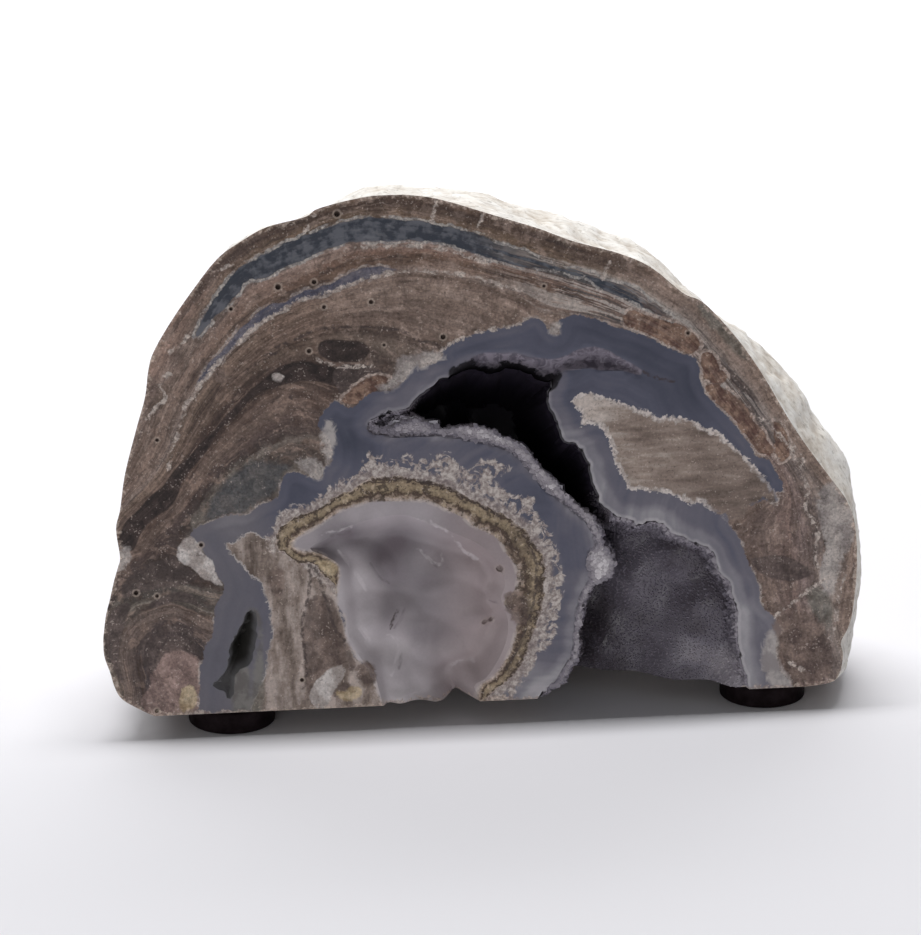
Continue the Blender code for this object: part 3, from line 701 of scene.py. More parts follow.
AGATE_OUTLINE = (
    (335, 400), (340, 403), (347, 408), (350, 409), (358, 403), (372, 392), (390, 391), (398, 387),
    (403, 382), (410, 372), (417, 363), (420, 368), (430, 365), (443, 358), (442, 350), (448, 345),
    (460, 339), (473, 334), (490, 330), (507, 327), (520, 323), (530, 319), (540, 318), (547, 328),
    (555, 337), (561, 330), (558, 322), (563, 318), (573, 315), (587, 317), (600, 320), (610, 325),
    (622, 329), (635, 332), (652, 339), (669, 348), (686, 355), (694, 357), (700, 369), (699, 376),
    (702, 386), (707, 395), (714, 403), (725, 414), (731, 421), (738, 429), (749, 443), (757, 457),
    (768, 459), (773, 466), (778, 476), (784, 486), (781, 493), (773, 491), (779, 503), (764, 500),
    (750, 506), (735, 505), (728, 522), (737, 535), (743, 548), (746, 557), (751, 569), (757, 580),
    (760, 592), (760, 603), (768, 612), (775, 617), (778, 624), (783, 630), (777, 637), (775, 647),
    (777, 660), (781, 673), (790, 685), (792, 730), (196, 740), (199, 708), (200, 688), (200, 668),
    (204, 658), (204, 647), (212, 637), (214, 621), (216, 605), (222, 595), (224, 585), (216, 575),
    (214, 565), (206, 557), (202, 549), (190, 535), (194, 529), (210, 522), (230, 515), (246, 515),
    (260, 505), (277, 498), (280, 486), (286, 474), (300, 473), (310, 477), (318, 481), (323, 476),
    (323, 468), (332, 462), (330, 440), (318, 427), (320, 417), (325, 410),
)
ISLAND = (
    (575, 398), (580, 395), (590, 394), (600, 397), (610, 400), (621, 404), (635, 409), (647, 412),
    (657, 419), (669, 417), (681, 419), (693, 422), (704, 428), (718, 433), (728, 443), (738, 452),
    (749, 462), (759, 473), (768, 483), (773, 491), (779, 503), (764, 502), (750, 508), (745, 520),
    (728, 522), (720, 514), (709, 508), (701, 501), (690, 503), (677, 495), (665, 491), (652, 491),
    (639, 488), (629, 489), (627, 483), (622, 473), (616, 461), (612, 445), (607, 435), (600, 424),
    (588, 422), (582, 427), (583, 413), (578, 408), (573, 402),
)
RING_OUTER = (
    (275, 541), (279, 530), (287, 521), (298, 515), (312, 512), (323, 505), (333, 498), (343, 494),
    (352, 491), (360, 483), (370, 478), (383, 477), (402, 477), (420, 480), (437, 483), (450, 487),
    (464, 495), (475, 501), (489, 507), (502, 514), (514, 521), (525, 530), (533, 542), (541, 553),
    (545, 565), (544, 584), (543, 603), (539, 619), (533, 634), (529, 648), (523, 661), (516, 673),
    (504, 684), (491, 694), (470, 740), (400, 740), (387, 708), (381, 700), (376, 688), (375, 678),
    (373, 671), (368, 662), (356, 661), (355, 653), (348, 644), (345, 632), (345, 617), (337, 605),
    (335, 586), (323, 575), (312, 563), (298, 563), (287, 555), (277, 548),
)
RING_INNER = (
    (293, 545), (298, 537), (308, 532), (318, 526), (331, 517), (343, 510), (356, 506), (370, 502),
    (383, 501), (402, 501), (420, 501), (433, 504), (445, 510), (460, 515), (471, 525), (487, 532),
    (498, 539), (506, 553), (514, 563), (517, 578), (514, 592), (503, 601), (510, 611), (518, 619),
    (515, 632), (512, 644), (504, 663), (496, 673), (489, 680), (477, 690), (470, 740), (400, 740),
    (387, 708), (381, 700), (376, 688), (375, 678), (373, 671), (368, 662), (356, 661), (355, 653),
    (348, 644), (345, 632), (345, 617), (337, 605), (338, 586), (340, 571), (337, 563), (327, 557),
    (316, 551), (302, 551),
)
FRINGE = (
    (270, 548), (273, 532), (281, 517), (291, 511), (310, 506), (323, 498), (331, 490), (343, 482),
    (358, 478), (362, 467), (370, 458), (383, 461), (398, 463), (412, 459), (423, 464), (437, 458),
    (446, 457), (460, 471), (471, 475), (483, 463), (489, 463), (506, 469), (487, 476), (498, 488),
    (510, 498), (525, 498), (531, 503), (527, 510), (537, 519), (543, 525), (550, 541), (556, 558),
    (559, 588), (555, 609), (553, 630), (544, 645), (535, 653), (529, 667), (523, 676), (510, 692),
    (496, 740), (400, 740), (380, 640), (300, 562),
)
PALE_LINES = (
    ((168, 468), (171, 456), (174, 444), (178, 430), (182, 420), (185, 408), (192, 397), (198, 388),
     (210, 372), (223, 358), (242, 339), (258, 325), (280, 312), (300, 300), (333, 291), (362, 280),
     (397, 272), (440, 272), (473, 277), (507, 287), (520, 290)),
    ((170, 373), (163, 378), (162, 388), (167, 397), (160, 405), (150, 413), (147, 422)),
    ((315, 215), (305, 232)), ((437, 197), (432, 222)), ((484, 208), (478, 228)),
    ((612, 255), (602, 280)),
    ((312, 358), (323, 362), (340, 367), (360, 366), (370, 365)),
    ((775, 617), (794, 601), (815, 586), (840, 571)),
    ((442, 350), (448, 345), (460, 339), (473, 334), (490, 330), (507, 327), (520, 323)),
    ((800, 470), (808, 490), (806, 510), (818, 530), (815, 550), (818, 570)),
    ((845, 575), (838, 600), (836, 625), (826, 645)), ((758, 418), (775, 430), (790, 450), (800, 470)),
    ((790, 440), (800, 455), (806, 475)), ((786, 660), (800, 668), (812, 672)), ((222, 268), (235, 262)),
    ((188, 335), (181, 345), (170, 352)),
    ((345, 250), (380, 247), (420, 246), (455, 252), (490, 264)),
)
# How light the milky bowl is, from 0 to 1, at places across it: partly its own colour, partly painted light
# and shade on its lobes.
BOWL_TONES_AND_SHADE = (
    ((310, 540), 0.5), ((330, 540), 0.23), ((350, 535), 0.13), ((355, 515), 0.6), ((380, 512), 0.62),
    ((420, 510), 0.55), ((460, 530), 0.4), ((400, 545), 0.02), ((385, 560), 0.05), ((395, 575), 0.1),
    ((360, 580), 0.78), ((375, 600), 0.66), ((350, 592), 0.85), ((345, 570), 0.6), ((400, 590), 0.22),
    ((430, 590), 0.18), ((440, 558), 0.43), ((430, 610), 0.25), ((480, 580), 0.45), ((500, 585), 0.6),
    ((470, 620), 0.5), ((500, 640), 0.65), ((440, 640), 0.28), ((420, 640), 0.3), ((402, 655), 0.8),
    ((370, 625), 0.62), ((365, 645), 0.82), ((360, 625), 0.8), ((390, 620), 0.35), ((400, 680), 0.65),
    ((440, 690), 0.63), ((460, 676), 0.62), ((400, 703), 0.92), ((430, 700), 0.7), ((385, 690), 0.75),
    ((480, 655), 0.55), ((425, 665), 0.55), ((510, 625), 0.6), ((470, 545), 0.45), ((495, 555), 0.5),
)
# Painted highlights on the ridges that catch the light in the bowl, and painted shade in the creases between
# its lobes.
BOWL_RIDGE_HIGHLIGHTS = (
    ((323, 534), (333, 531), (343, 530), (352, 526)),
    ((417, 518), (428, 521), (437, 526), (448, 532), (457, 540), (463, 549), (470, 556), (480, 562)),
    ((420, 550), (428, 558), (437, 567), (445, 568), (444, 556)),
    ((340, 552), (350, 566), (360, 580), (368, 596)),
    ((390, 642), (397, 645), (401, 655), (397, 668), (392, 680)),
    ((452, 684), (462, 671), (477, 668)), ((358, 622), (366, 634), (372, 648)),
    ((398, 701), (412, 699), (428, 699)),
)
BOWL_CREASE_SHADES = (
    ((407, 617), (403, 627), (397, 635)), ((330, 536), (342, 534), (352, 531)),
    ((372, 566), (380, 580), (392, 590)), ((404, 662), (400, 674)), ((492, 606), (500, 603)),
    ((425, 553), (432, 563), (440, 571)),
)
ISLAND_TONES = (
    ((585, 400), 1.0), ((590, 418), 0.9), ((605, 405), 0.85), ((620, 420), 0.5), ((640, 430), 0.35),
    ((615, 440), 0.6), ((625, 465), 0.65), ((660, 460), 0.55), ((650, 480), 0.6), ((670, 430), 0.5),
    ((700, 440), 0.35), ((700, 460), 0.3), ((690, 485), 0.45), ((720, 480), 0.35), ((720, 445), 0.6),
    ((740, 470), 0.45), ((735, 505), 0.15), ((755, 500), 0.1), ((765, 490), 0.3), ((710, 500), 0.3),
)
DARK_LINES = (
    ((275, 347), (300, 337), (313, 331), (330, 327), (380, 328), (402, 331), (412, 337), (420, 341),
     (433, 343), (442, 348)),
    ((267, 355), (277, 352)), ((290, 394), (291, 399)),
    ((309, 563), (310, 581), (308, 597), (304, 613), (302, 629), (304, 645), (306, 660), (306, 676),
     (303, 690)),
    ((314, 563), (321, 585), (329, 609), (335, 629), (345, 641)),
    ((603, 350), (616, 357), (633, 367), (643, 372), (660, 379), (674, 381)),
    ((400, 618), (395, 626), (392, 635)),
    ((370, 480), (400, 479), (425, 482), (450, 489), (475, 503), (500, 516)),
    ((152, 676), (146, 655), (150, 641), (165, 634), (180, 634), (190, 642)),
    ((530, 545), (536, 562), (536, 585), (533, 605), (527, 625), (518, 648), (506, 668)),
)
# The rock's layers: curves of equal depth into the banding, counted from the rind inwards.
STRATA = (
    (0.0, (
        (153, 353), (170, 323), (192, 291), (217, 259), (240, 242), (267, 227), (305, 217), (350, 200),
        (382, 195), (420, 196), (450, 202), (490, 214), (537, 228), (573, 241), (621, 254), (652, 268),
        (683, 293), (704, 303), (735, 336), (761, 372), (790, 421), (811, 452), (832, 480), (847, 501),
        (855, 525), (857, 565), (853, 609), (848, 628),
    )),
    (3.3, (
        (146, 410), (155, 395), (168, 370), (185, 342), (203, 317), (223, 287), (242, 266), (267, 253),
        (300, 237), (333, 225), (365, 217), (403, 220), (447, 227), (490, 240), (523, 250), (560, 268),
        (600, 278), (635, 288), (661, 308), (680, 325), (700, 345), (722, 362), (745, 388), (768, 420),
        (787, 448), (806, 476), (822, 500), (830, 530), (832, 565), (828, 600),
    )),
    (6.5, (
        (128, 480), (140, 460), (150, 440), (163, 412), (175, 385), (190, 360), (205, 335), (223, 310),
        (245, 283), (267, 277), (290, 265), (330, 249), (360, 242), (410, 240), (443, 243), (490, 259),
        (523, 267), (557, 270), (590, 280), (635, 303), (669, 319), (690, 333), (702, 352), (720, 378),
        (742, 404), (765, 440), (780, 470), (795, 492), (803, 520), (808, 555), (805, 590),
    )),
    (11.2, (
        (118, 519), (128, 510), (143, 497), (158, 483), (168, 468), (171, 456), (178, 430), (185, 408),
        (198, 388), (223, 358), (242, 339), (268, 317), (288, 307), (320, 296), (347, 285), (373, 277),
        (397, 272), (423, 271), (457, 276), (487, 280), (507, 287), (530, 296), (560, 306), (590, 312),
        (620, 320), (652, 333),
    )),
    (12.5, (
        (540, 318), (573, 315), (610, 325), (652, 339), (686, 355), (700, 369), (714, 403), (738, 429),
        (757, 457), (778, 476), (784, 486), (728, 522), (743, 548), (757, 580), (768, 612), (783, 630),
        (777, 660), (790, 685),
    )),
    (19.5, (
        (176, 464), (186, 448), (200, 425), (215, 400), (235, 378), (255, 360), (275, 347), (300, 337),
        (313, 331), (330, 327), (380, 328), (402, 331), (420, 341), (442, 348),
    )),
    (23.0, (
        (121, 541), (125, 523), (139, 509), (151, 495), (163, 486), (174, 470), (190, 456), (202, 442),
        (214, 430), (233, 408), (260, 382), (290, 363), (357, 368),
    )),
    (26.0, (
        (135, 549), (141, 533), (153, 519), (168, 509), (178, 496), (194, 466), (213, 440), (240, 412),
        (260, 392), (293, 382), (323, 383), (333, 390),
    )),
    (30.0, (
        (123, 560), (140, 553), (150, 548), (165, 530), (185, 510), (205, 480), (230, 455), (262, 430),
        (295, 415), (318, 415),
    )),
    (31.0, ((123, 581), (139, 569), (155, 561), (170, 557), (178, 561), (188, 567), (200, 577))),
    (33.0, (
        (120, 690), (112, 668), (108, 645), (112, 620), (130, 600), (166, 595), (180, 591), (192, 595),
        (202, 609),
    )),
    (36.0, (
        (128, 697), (122, 680), (121, 664), (125, 645), (135, 627), (149, 617), (163, 609), (178, 607),
        (190, 611), (198, 621), (210, 625),
    )),
    (39.0, (
        (149, 674), (139, 645), (147, 633), (163, 626), (178, 625), (190, 631), (194, 639), (198, 653),
    )),
    (42.0, ((157, 668), (166, 653), (180, 650), (195, 657))),
)
FLANK_CENTRE = (455, 650)
# How milky the agate is, from 0, slate blue, to 1, pale grey, at places read.
AGATE_MILK = (
    ((520, 340), 0.4), ((600, 330), 0.05), ((650, 350), 0.05), ((690, 390), 0.1), ((630, 395), 0.3),
    ((580, 380), 0.25), ((566, 395), 0.2), ((572, 430), 0.55), ((600, 470), 0.55), ((604, 490), 0.75),
    ((650, 506), 0.8), ((700, 522), 0.65), ((725, 550), 0.5), ((745, 590), 0.65), ((745, 620), 0.95),
    ((752, 660), 0.8), ((775, 480), 0.25), ((450, 362), 0.3), ((420, 385), 0.4), ((350, 440), 0.0),
    ((340, 480), 0.55), ((300, 490), 0.2), ((230, 525), 1.0), ((215, 545), 0.5), ((235, 590), 0.35),
    ((240, 600), 0.5), ((222, 630), 0.35), ((210, 660), 0.25), ((262, 640), 0.6), ((255, 690), 0.9),
    ((500, 455), 0.4), ((540, 500), 0.3), ((570, 530), 0.5), ((570, 600), 0.5), ((560, 640), 0.55),
    ((530, 680), 1.0), ((620, 480), 0.5), ((400, 440), 0.45), ((450, 450), 0.6), ((750, 540), 0.6),
)


COLOUR_EDGE_STEP = 0.8
STRATA_STEP = 3.0
STRATA_SLACK = 8.0
FAR_OUTSIDE = -20.0


def zone(points, outlines):
    """The distance inside whichever of several closed outlines is nearest."""
    rims = [rounded(on_face(outline), COLOUR_EDGE_STEP) for outline in outlines]
    return np.max([rim_distance(points, rim) for rim in rims], axis=0)


def strand(points, lines):
    """The distance from the nearest of several open lines."""
    curves = [rounded(on_face(line), COLOUR_EDGE_STEP, closed=False) for line in lines]
    return np.min([line_distance(points, curve, closed=False) for curve in curves], axis=0)


def strata_layer(points):
    """Each point's place in the layers, by a thin plate bent through the curves of STRATA."""
    curves = [even_points(on_face(line), STRATA_STEP, closed=False) for _, line in STRATA]
    knots = np.vstack(curves)
    values = np.concatenate([np.full(len(curve), value) for curve, (value, _) in zip(curves, STRATA)])

    def bend(first, second):
        square = ((first[:, None, :] - second[None, :, :]) ** 2).sum(axis=2)
        return 0.5 * square * np.log(square + 1e-9)

    count = len(knots)
    flat = np.column_stack([np.ones(count), knots])
    system = np.zeros((count + 3, count + 3))
    system[:count, :count] = bend(knots, knots) + np.eye(count) * STRATA_SLACK
    system[:count, count:] = flat
    system[count:, :count] = flat.T
    weights = np.linalg.solve(system, np.concatenate([values, np.zeros(3)]))
    slope = np.column_stack([np.ones(len(points)), points]) @ weights[count:]
    return bend(points, knots) @ weights[:count] + slope


def keep_value(data, name, values):
    """Stores one number for each of a mesh's first points; the rest stay far outside."""
    stored = np.full(len(data.vertices), FAR_OUTSIDE)
    stored[:len(values)] = values
    data.attributes.new(name, "FLOAT", "POINT").data.foreach_set("value", stored)


turned = front_plan - on_face([FLANK_CENTRE])
keep_value(stone_data, "layer", strata_layer(front_plan))
keep_value(stone_data, "flank", 1.0 - np.arctan2(np.maximum(turned[:, 1], 0.0), turned[:, 0]) / math.pi)
for name, values in (
    ("blue_band", zone(front_plan, [BLUE_BAND])),
    ("purple_band", zone(front_plan, [PURPLE_BAND])),
    ("brown_streak", zone(front_plan, [BROWN_STREAK, EYE_LENS])),
    ("jasper", zone(front_plan, JASPERS)),
    ("green_zone", zone(front_plan, [GREEN_ZONE])),
    ("dark_patch", zone(front_plan, DARK_PATCHES)),
    ("pink_patch", zone(front_plan, PINK_PATCHES)),
    ("white_patch", zone(front_plan, WHITE_PATCHES)),
    ("tan_centre", zone(front_plan, [TAN_CENTRE])),
    ("agate", zone(front_plan, [AGATE_OUTLINE])),
    ("island", zone(front_plan, [ISLAND])),
    ("ring_outer", zone(front_plan, [RING_OUTER])),
    ("ring_inner", zone(front_plan, [RING_INNER])),
    ("fringe", zone(front_plan, [FRINGE])),
    ("hollow", rim_distance(front_plan, hollow_rim)),
    ("step", rim_distance(front_plan, step_rim)),
    ("bowl", rim_distance(front_plan, bowl_rim)),
    ("slit", rim_distance(front_plan, slit_rim)),
    ("pale_line", strand(front_plan, PALE_LINES)),
    ("dark_line", strand(front_plan, DARK_LINES)),
    ("depth", front_depth),
    ("milk", blended(front_plan, AGATE_MILK, 2.5)),
    ("bowl_tone_and_shade", blended(front_plan, BOWL_TONES_AND_SHADE, 3.0)),
    ("island_tone", blended(front_plan, ISLAND_TONES, 2.5)),
    ("flint", zone(front_plan, FLINT_PATCHES)),
    ("olive", zone(front_plan, OLIVE_PATCHES)),
    ("brown", zone(front_plan, BROWN_PATCHES)),
    ("gold", zone(front_plan, GOLD_PATCHES)),
    ("edge", rim_distance(front_plan, loop)),
    ("ridge_highlight", strand(front_plan, BOWL_RIDGE_HIGHLIGHTS)),
    ("crease_shade", strand(front_plan, BOWL_CREASE_SHADES)),
    ("pit", np.max([
        radius - np.linalg.norm(front_plan - on_face([pixel]), axis=1) for pixel, radius, _ in PITS
    ], axis=0)),
):
    keep_value(stone_data, name, values)

# The stone's materials. Colours are the photograph's own, as read from the screen, divided by the light that
# the face gets there.
FACE_LIGHT = 0.46
BAND_RANGE = 45.0
FLANK_LENGTH = 190.0
LAYER_WAVER = 0.9
INNER_WARMTH = (0.88, 0.83, 0.79, 1.0)
# Pairs of the photograph's pixels: a tone comes in across the face from the first to the second.
FLINT_TO_SLIT = ((300, 620), (240, 620))
RING_LIGHT_TO_DARK = ((480, 600), (525, 600))
BOWL_COOL_TO_WARM = ((415, 600), (480, 600))
# The least distance to the ring's inner edge, so that a share of the ring's width can always be taken.
RING_LEAST = 0.02
LEFT_LAYERS = (
    (0.0, (118, 98, 88)), (1.5, (124, 104, 94)), (3.0, (98, 84, 78)), (4.5, (94, 80, 72)),
    (6.2, (92, 78, 70)), (7.0, (106, 90, 81)), (10.0, (98, 84, 76)), (11.4, (108, 96, 90)),
    (13.0, (98, 86, 78)), (15.5, (92, 80, 72)), (17.0, (76, 65, 59)), (18.5, (98, 85, 78)),
    (20.6, (86, 74, 67)), (22.0, (58, 48, 45)), (23.2, (56, 45, 42)), (25.8, (54, 44, 41)),
    (26.8, (90, 77, 71)), (29.0, (96, 84, 78)), (30.2, (70, 60, 58)), (31.4, (58, 52, 51)),
    (32.0, (102, 98, 93)), (32.6, (62, 58, 56)), (33.3, (66, 62, 59)), (33.8, (108, 103, 97)),
    (34.5, (62, 57, 54)), (36.0, (102, 91, 86)), (37.5, (76, 67, 64)), (38.8, (60, 54, 55)),
    (41.0, (56, 49, 50)), (42.2, (112, 97, 94)),
)
CROWN_LAYERS = (
    (0.0, (84, 68, 58)), (0.9, (62, 50, 44)), (1.6, (72, 59, 51)), (3.0, (96, 80, 66)),
    (3.6, (72, 66, 62)), (6.2, (74, 70, 68)), (6.9, (122, 104, 96)), (8.0, (98, 78, 68)),
    (9.0, (82, 65, 55)), (10.0, (92, 76, 66)), (10.8, (122, 107, 99)), (11.8, (88, 74, 66)),
    (13.5, (112, 97, 88)), (15.0, (96, 82, 74)), (17.5, (86, 73, 66)), (19.0, (94, 80, 72)),
    (20.0, (60, 50, 45)), (21.0, (96, 84, 76)), (23.0, (74, 63, 58)), (25.5, (56, 47, 44)),
    (28.0, (82, 70, 65)), (34.0, (88, 77, 73)),
)
RIGHT_LAYERS = (
    (0.0, (112, 96, 86)), (1.5, (104, 90, 82)), (3.0, (116, 106, 100)), (3.8, (98, 88, 84)),
    (5.5, (76, 66, 62)), (6.8, (106, 92, 88)), (8.5, (98, 82, 76)), (11.0, (88, 75, 70)),
    (13.0, (96, 84, 78)), (20.0, (92, 80, 76)),
)


def linear(colour, strength=1.0):
    """A screen colour as the light it stands for, with alpha."""
    parts = [value / 255 for value in colour]
    light = [value / 12.92 if value <= 0.04045 else ((value + 0.055) / 1.055) ** 2.4 for value in parts]
    return (*(min(value / strength, 0.95) for value in light), 1.0)


def add(tree, kind, inputs=None, **settings):
    """A new shader node, with its settings, and its inputs linked or set."""
    made = tree.nodes.new(kind)
    for name, value in settings.items():
        setattr(made, name, value)
    for key, value in (inputs or {}).items():
        if isinstance(value, bpy.types.NodeSocket):
            tree.links.new(value, made.inputs[key])
        else:
            made.inputs[key].default_value = value
    return made


def maths(tree, operation, *values):
    return add(tree, "ShaderNodeMath", dict(enumerate(values)), operation=operation).outputs[0]


def mixed(tree, share, first, second, blend="MIX"):
    sockets = {0: share, 6: first, 7: second}
    return add(tree, "ShaderNodeMix", sockets, data_type="RGBA", blend_type=blend).outputs[2]


def ramp(tree, value, stops, strength=1.0):
    """A colour that passes through the given screen colours as a value rises."""
    made = add(tree, "ShaderNodeValToRGB", {0: value})
    elements = made.color_ramp.elements
    for index, (position, tone) in enumerate(stops):
        element = elements[index] if index < 2 else elements.new(position)
        element.position = position
        element.color = linear(tone, strength)
    return made.outputs[0]


def kept(tree, name):
    """A value that the mesh carries on its points."""
    return add(tree, "ShaderNodeAttribute", attribute_name=name).outputs["Fac"]


def noise_at(tree, vector, scale, detail=2.0, roughness=0.5, distortion=0.0):
    return add(tree, "ShaderNodeTexNoise", {
        "Vector": vector, "Scale": scale, "Detail": detail, "Roughness": roughness, "Distortion": distortion
    }).outputs[0]


def eased(tree, value, low, high):
    """0 below low, 1 above high, and smooth between."""
    sockets = {0: value, 1: low, 2: high}
    return add(tree, "ShaderNodeMapRange", sockets, interpolation_type="SMOOTHSTEP").outputs[0]


def scaled(tree, vector, strength):
    return add(tree, "ShaderNodeVectorMath", {0: vector, 3: strength}, operation="SCALE").outputs[0]


def stretched(tree, vector, factors):
    """A place whose three directions are scaled apart, so that a noise on it is drawn out."""
    return add(tree, "ShaderNodeVectorMath", {0: vector, 1: factors}, operation="MULTIPLY").outputs[0]


def make_group(name, inputs, outputs):
    """An empty shader node group with its sockets, and the nodes that carry them."""
    group = bpy.data.node_groups.new(name, "ShaderNodeTree")
    for label, kind, default in inputs:
        socket = group.interface.new_socket(label, in_out="INPUT", socket_type=kind)
        if default is not None:
            socket.default_value = default
    for label, kind in outputs:
        group.interface.new_socket(label, in_out="OUTPUT", socket_type=kind)
    return group, add(group, "NodeGroupInput"), add(group, "NodeGroupOutput")


# Grain: the fine speckle, small blotches and broad drift that every surface of the stone has in its colour.
grain_group, grain_in, grain_out = make_group(
    "stone_grain",
    [("Colour", "NodeSocketColor", (0.5, 0.5, 0.5, 1)), ("Place", "NodeSocketVector", None),
     ("Speckle", "NodeSocketFloat", 0.2), ("Blotch", "NodeSocketFloat", 0.2)],
    [("Colour", "NodeSocketColor")],
)
fine = noise_at(grain_group, grain_in.outputs["Place"], 2600.0, 2.0, 0.6)
small = noise_at(grain_group, grain_in.outputs["Place"], 900.0, 3.0, 0.55)
broad = noise_at(grain_group, grain_in.outputs["Place"], 260.0, 3.0, 0.5)
fine = maths(grain_group, "SUBTRACT", fine, 0.5)
speckle = maths(grain_group, "MULTIPLY_ADD", fine, grain_in.outputs["Speckle"], 1.0)
blotch = maths(grain_group, "MULTIPLY_ADD", small, 0.5, maths(grain_group, "MULTIPLY", broad, 0.5))
blotch = maths(grain_group, "SUBTRACT", blotch, 0.5)
blotch = maths(grain_group, "MULTIPLY_ADD", blotch, grain_in.outputs["Blotch"], 1.0)
strength = maths(grain_group, "MULTIPLY", speckle, blotch)
grained = scaled(grain_group, grain_in.outputs["Colour"], strength)
grain_group.links.new(grained, grain_out.inputs["Colour"])

# A ragged edge: a distance wandered by noise, turned into a mask.
edge_group, edge_in, edge_out = make_group(
    "ragged_edge",
    [("Distance", "NodeSocketFloat", 0.0), ("Noise", "NodeSocketFloat", 0.5),
     ("Amount", "NodeSocketFloat", 0.5), ("Softness", "NodeSocketFloat", 0.15)],
    [("Mask", "NodeSocketFloat")],
)
moved = maths(edge_group, "SUBTRACT", edge_in.outputs["Noise"], 0.5)
moved = maths(edge_group, "MULTIPLY_ADD", moved, edge_in.outputs["Amount"], edge_in.outputs["Distance"])
lowest = maths(edge_group, "MULTIPLY", edge_in.outputs["Softness"], -1.0)
cover = eased(edge_group, moved, lowest, edge_in.outputs["Softness"])
edge_group.links.new(cover, edge_out.inputs["Mask"])


def grouped(tree, group, inputs):
    return add(tree, "ShaderNodeGroup", inputs, node_tree=group).outputs[0]


def new_material(name, roughness):
    """A new material, its node tree and its shader. The helpers without a tree work in the newest one."""
    material = bpy.data.materials.new(name)
    material.use_nodes = True
    shader = material.node_tree.nodes["Principled BSDF"]
    shader.inputs["Roughness"].default_value = roughness
    return material, material.node_tree, shader


cut_material, tree, shader = new_material("cut_stone", 0.3)
shader.inputs["Specular IOR Level"].default_value = 0.25
spot = add(tree, "ShaderNodeTexCoord").outputs["Object"]
ragged_fine = noise_at(tree, spot, 1900.0, 2.0, 0.6)
ragged = noise_at(tree, spot, 620.0, 3.0, 0.6)
wander = noise_at(tree, spot, 170.0, 2.0, 0.5)
specks = noise_at(tree, spot, 3100.0, 1.0, 0.5)


def mask(name, amount, softness, offset=0.0, noise_value=None):
    """1 inside a colour's outline and 0 outside it, with a ragged edge."""
    distance = kept(tree, name)
    if offset:
        distance = maths(tree, "ADD", distance, offset)
    return grouped(tree, edge_group, {
        "Distance": distance, "Noise": noise_value or ragged, "Amount": amount, "Softness": softness
    })


def two_tone(first, second, value=None, low=0.4, high=0.6):
    """A blotchy colour that runs between two screen tones as a noise rises."""
    share = eased(tree, value or ragged, low, high)
    return mixed(tree, share, linear(first, FACE_LIGHT), linear(second, FACE_LIGHT))


def laid(under, cover, tone):
    """A colour with a screen tone laid over it where the cover says."""
    return mixed(tree, cover, under, linear(tone, FACE_LIGHT))


def wandered(value, noise_value, amount):
    """A value pushed to and fro by a noise."""
    return maths(tree, "MULTIPLY_ADD", maths(tree, "SUBTRACT", noise_value, 0.5), amount, value)


def across_at(pixel):
    """How far to the right of the middle a photograph pixel lies on the face, in metres."""
    return (on_face([pixel])[0, 0] + shift[0]) * MM


def times(*values):
    result = values[0]
    for value in values[1:]:
        result = maths(tree, "MULTIPLY", result, value)
    return result


def flipped(value):
    return maths(tree, "SUBTRACT", 1.0, value)


def roughen(height, strength, depth):
    """A fine relief on the surface, as deep as the given millimetres."""
    bump = add(tree, "ShaderNodeBump", {"Height": height, "Strength": strength, "Distance": depth * MM})
    tree.links.new(bump.outputs[0], shader.inputs["Normal"])


def along_layers(stretch, thickness, detail, seed):
    """Noise drawn out along the rock's layers."""
    along = times(kept(tree, "flank"), FLANK_LENGTH / stretch)
    through = times(kept(tree, "layer"), 1.0 / thickness)
    spread = add(tree, "ShaderNodeCombineXYZ", {0: along, 1: through, 2: seed}).outputs[0]
    waver = add(tree, "ShaderNodeCombineXYZ", {0: 0.0, 1: times(ragged, LAYER_WAVER), 2: wander}).outputs[0]
    spread = add(tree, "ShaderNodeVectorMath", {0: spread, 1: waver}, operation="ADD").outputs[0]
    return noise_at(tree, spread, 1.0, detail, 0.6)


# The rhyolite's layers, wavering, with pale and dark strands along them and a granular speckle.
layer = kept(tree, "layer")
flank = kept(tree, "flank")
strands = along_layers(14.0, 1.1, 3.0, 0.0)
threads = along_layers(5.0, 0.35, 2.0, 5.0)
blots = along_layers(3.0, 1.3, 3.0, 9.0)
wavered = wandered(layer, wander, 1.6)
wavered = wandered(wavered, ragged, 1.0)
position = maths(tree, "DIVIDE", wavered, BAND_RANGE)
left, crown, right = (
    ramp(tree, position, [(depth / BAND_RANGE, tone) for depth, tone in layers], FACE_LIGHT)
    for layers in (LEFT_LAYERS, CROWN_LAYERS, RIGHT_LAYERS)
)
colour = mixed(tree, eased(tree, flank, 0.22, 0.42), left, crown)
colour = mixed(tree, eased(tree, flank, 0.56, 0.72), colour, right)
colour = laid(colour, times(eased(tree, strands, 0.55, 0.64), 0.4), (126, 110, 101))
at_crown = times(eased(tree, flank, 0.36, 0.44), eased(tree, flank, 0.7, 0.62))
crown_core = times(at_crown, eased(tree, layer, 9.5, 11.0))
dark_share = times(eased(tree, strands, 0.46, 0.37), flipped(times(crown_core, 0.5)), 0.55)
colour = laid(colour, dark_share, (54, 46, 44))
colour = laid(colour, times(eased(tree, blots, 0.56, 0.66), 0.4), (136, 120, 111))
colour = laid(colour, times(eased(tree, blots, 0.44, 0.36), 0.45), (62, 49, 43))
lumps = noise_at(tree, spot, 330.0, 4.0, 0.65)
colour = laid(colour, times(eased(tree, lumps, 0.54, 0.64), 0.35), (122, 106, 97))
colour = laid(colour, times(eased(tree, lumps, 0.46, 0.37), 0.4), (58, 47, 42))
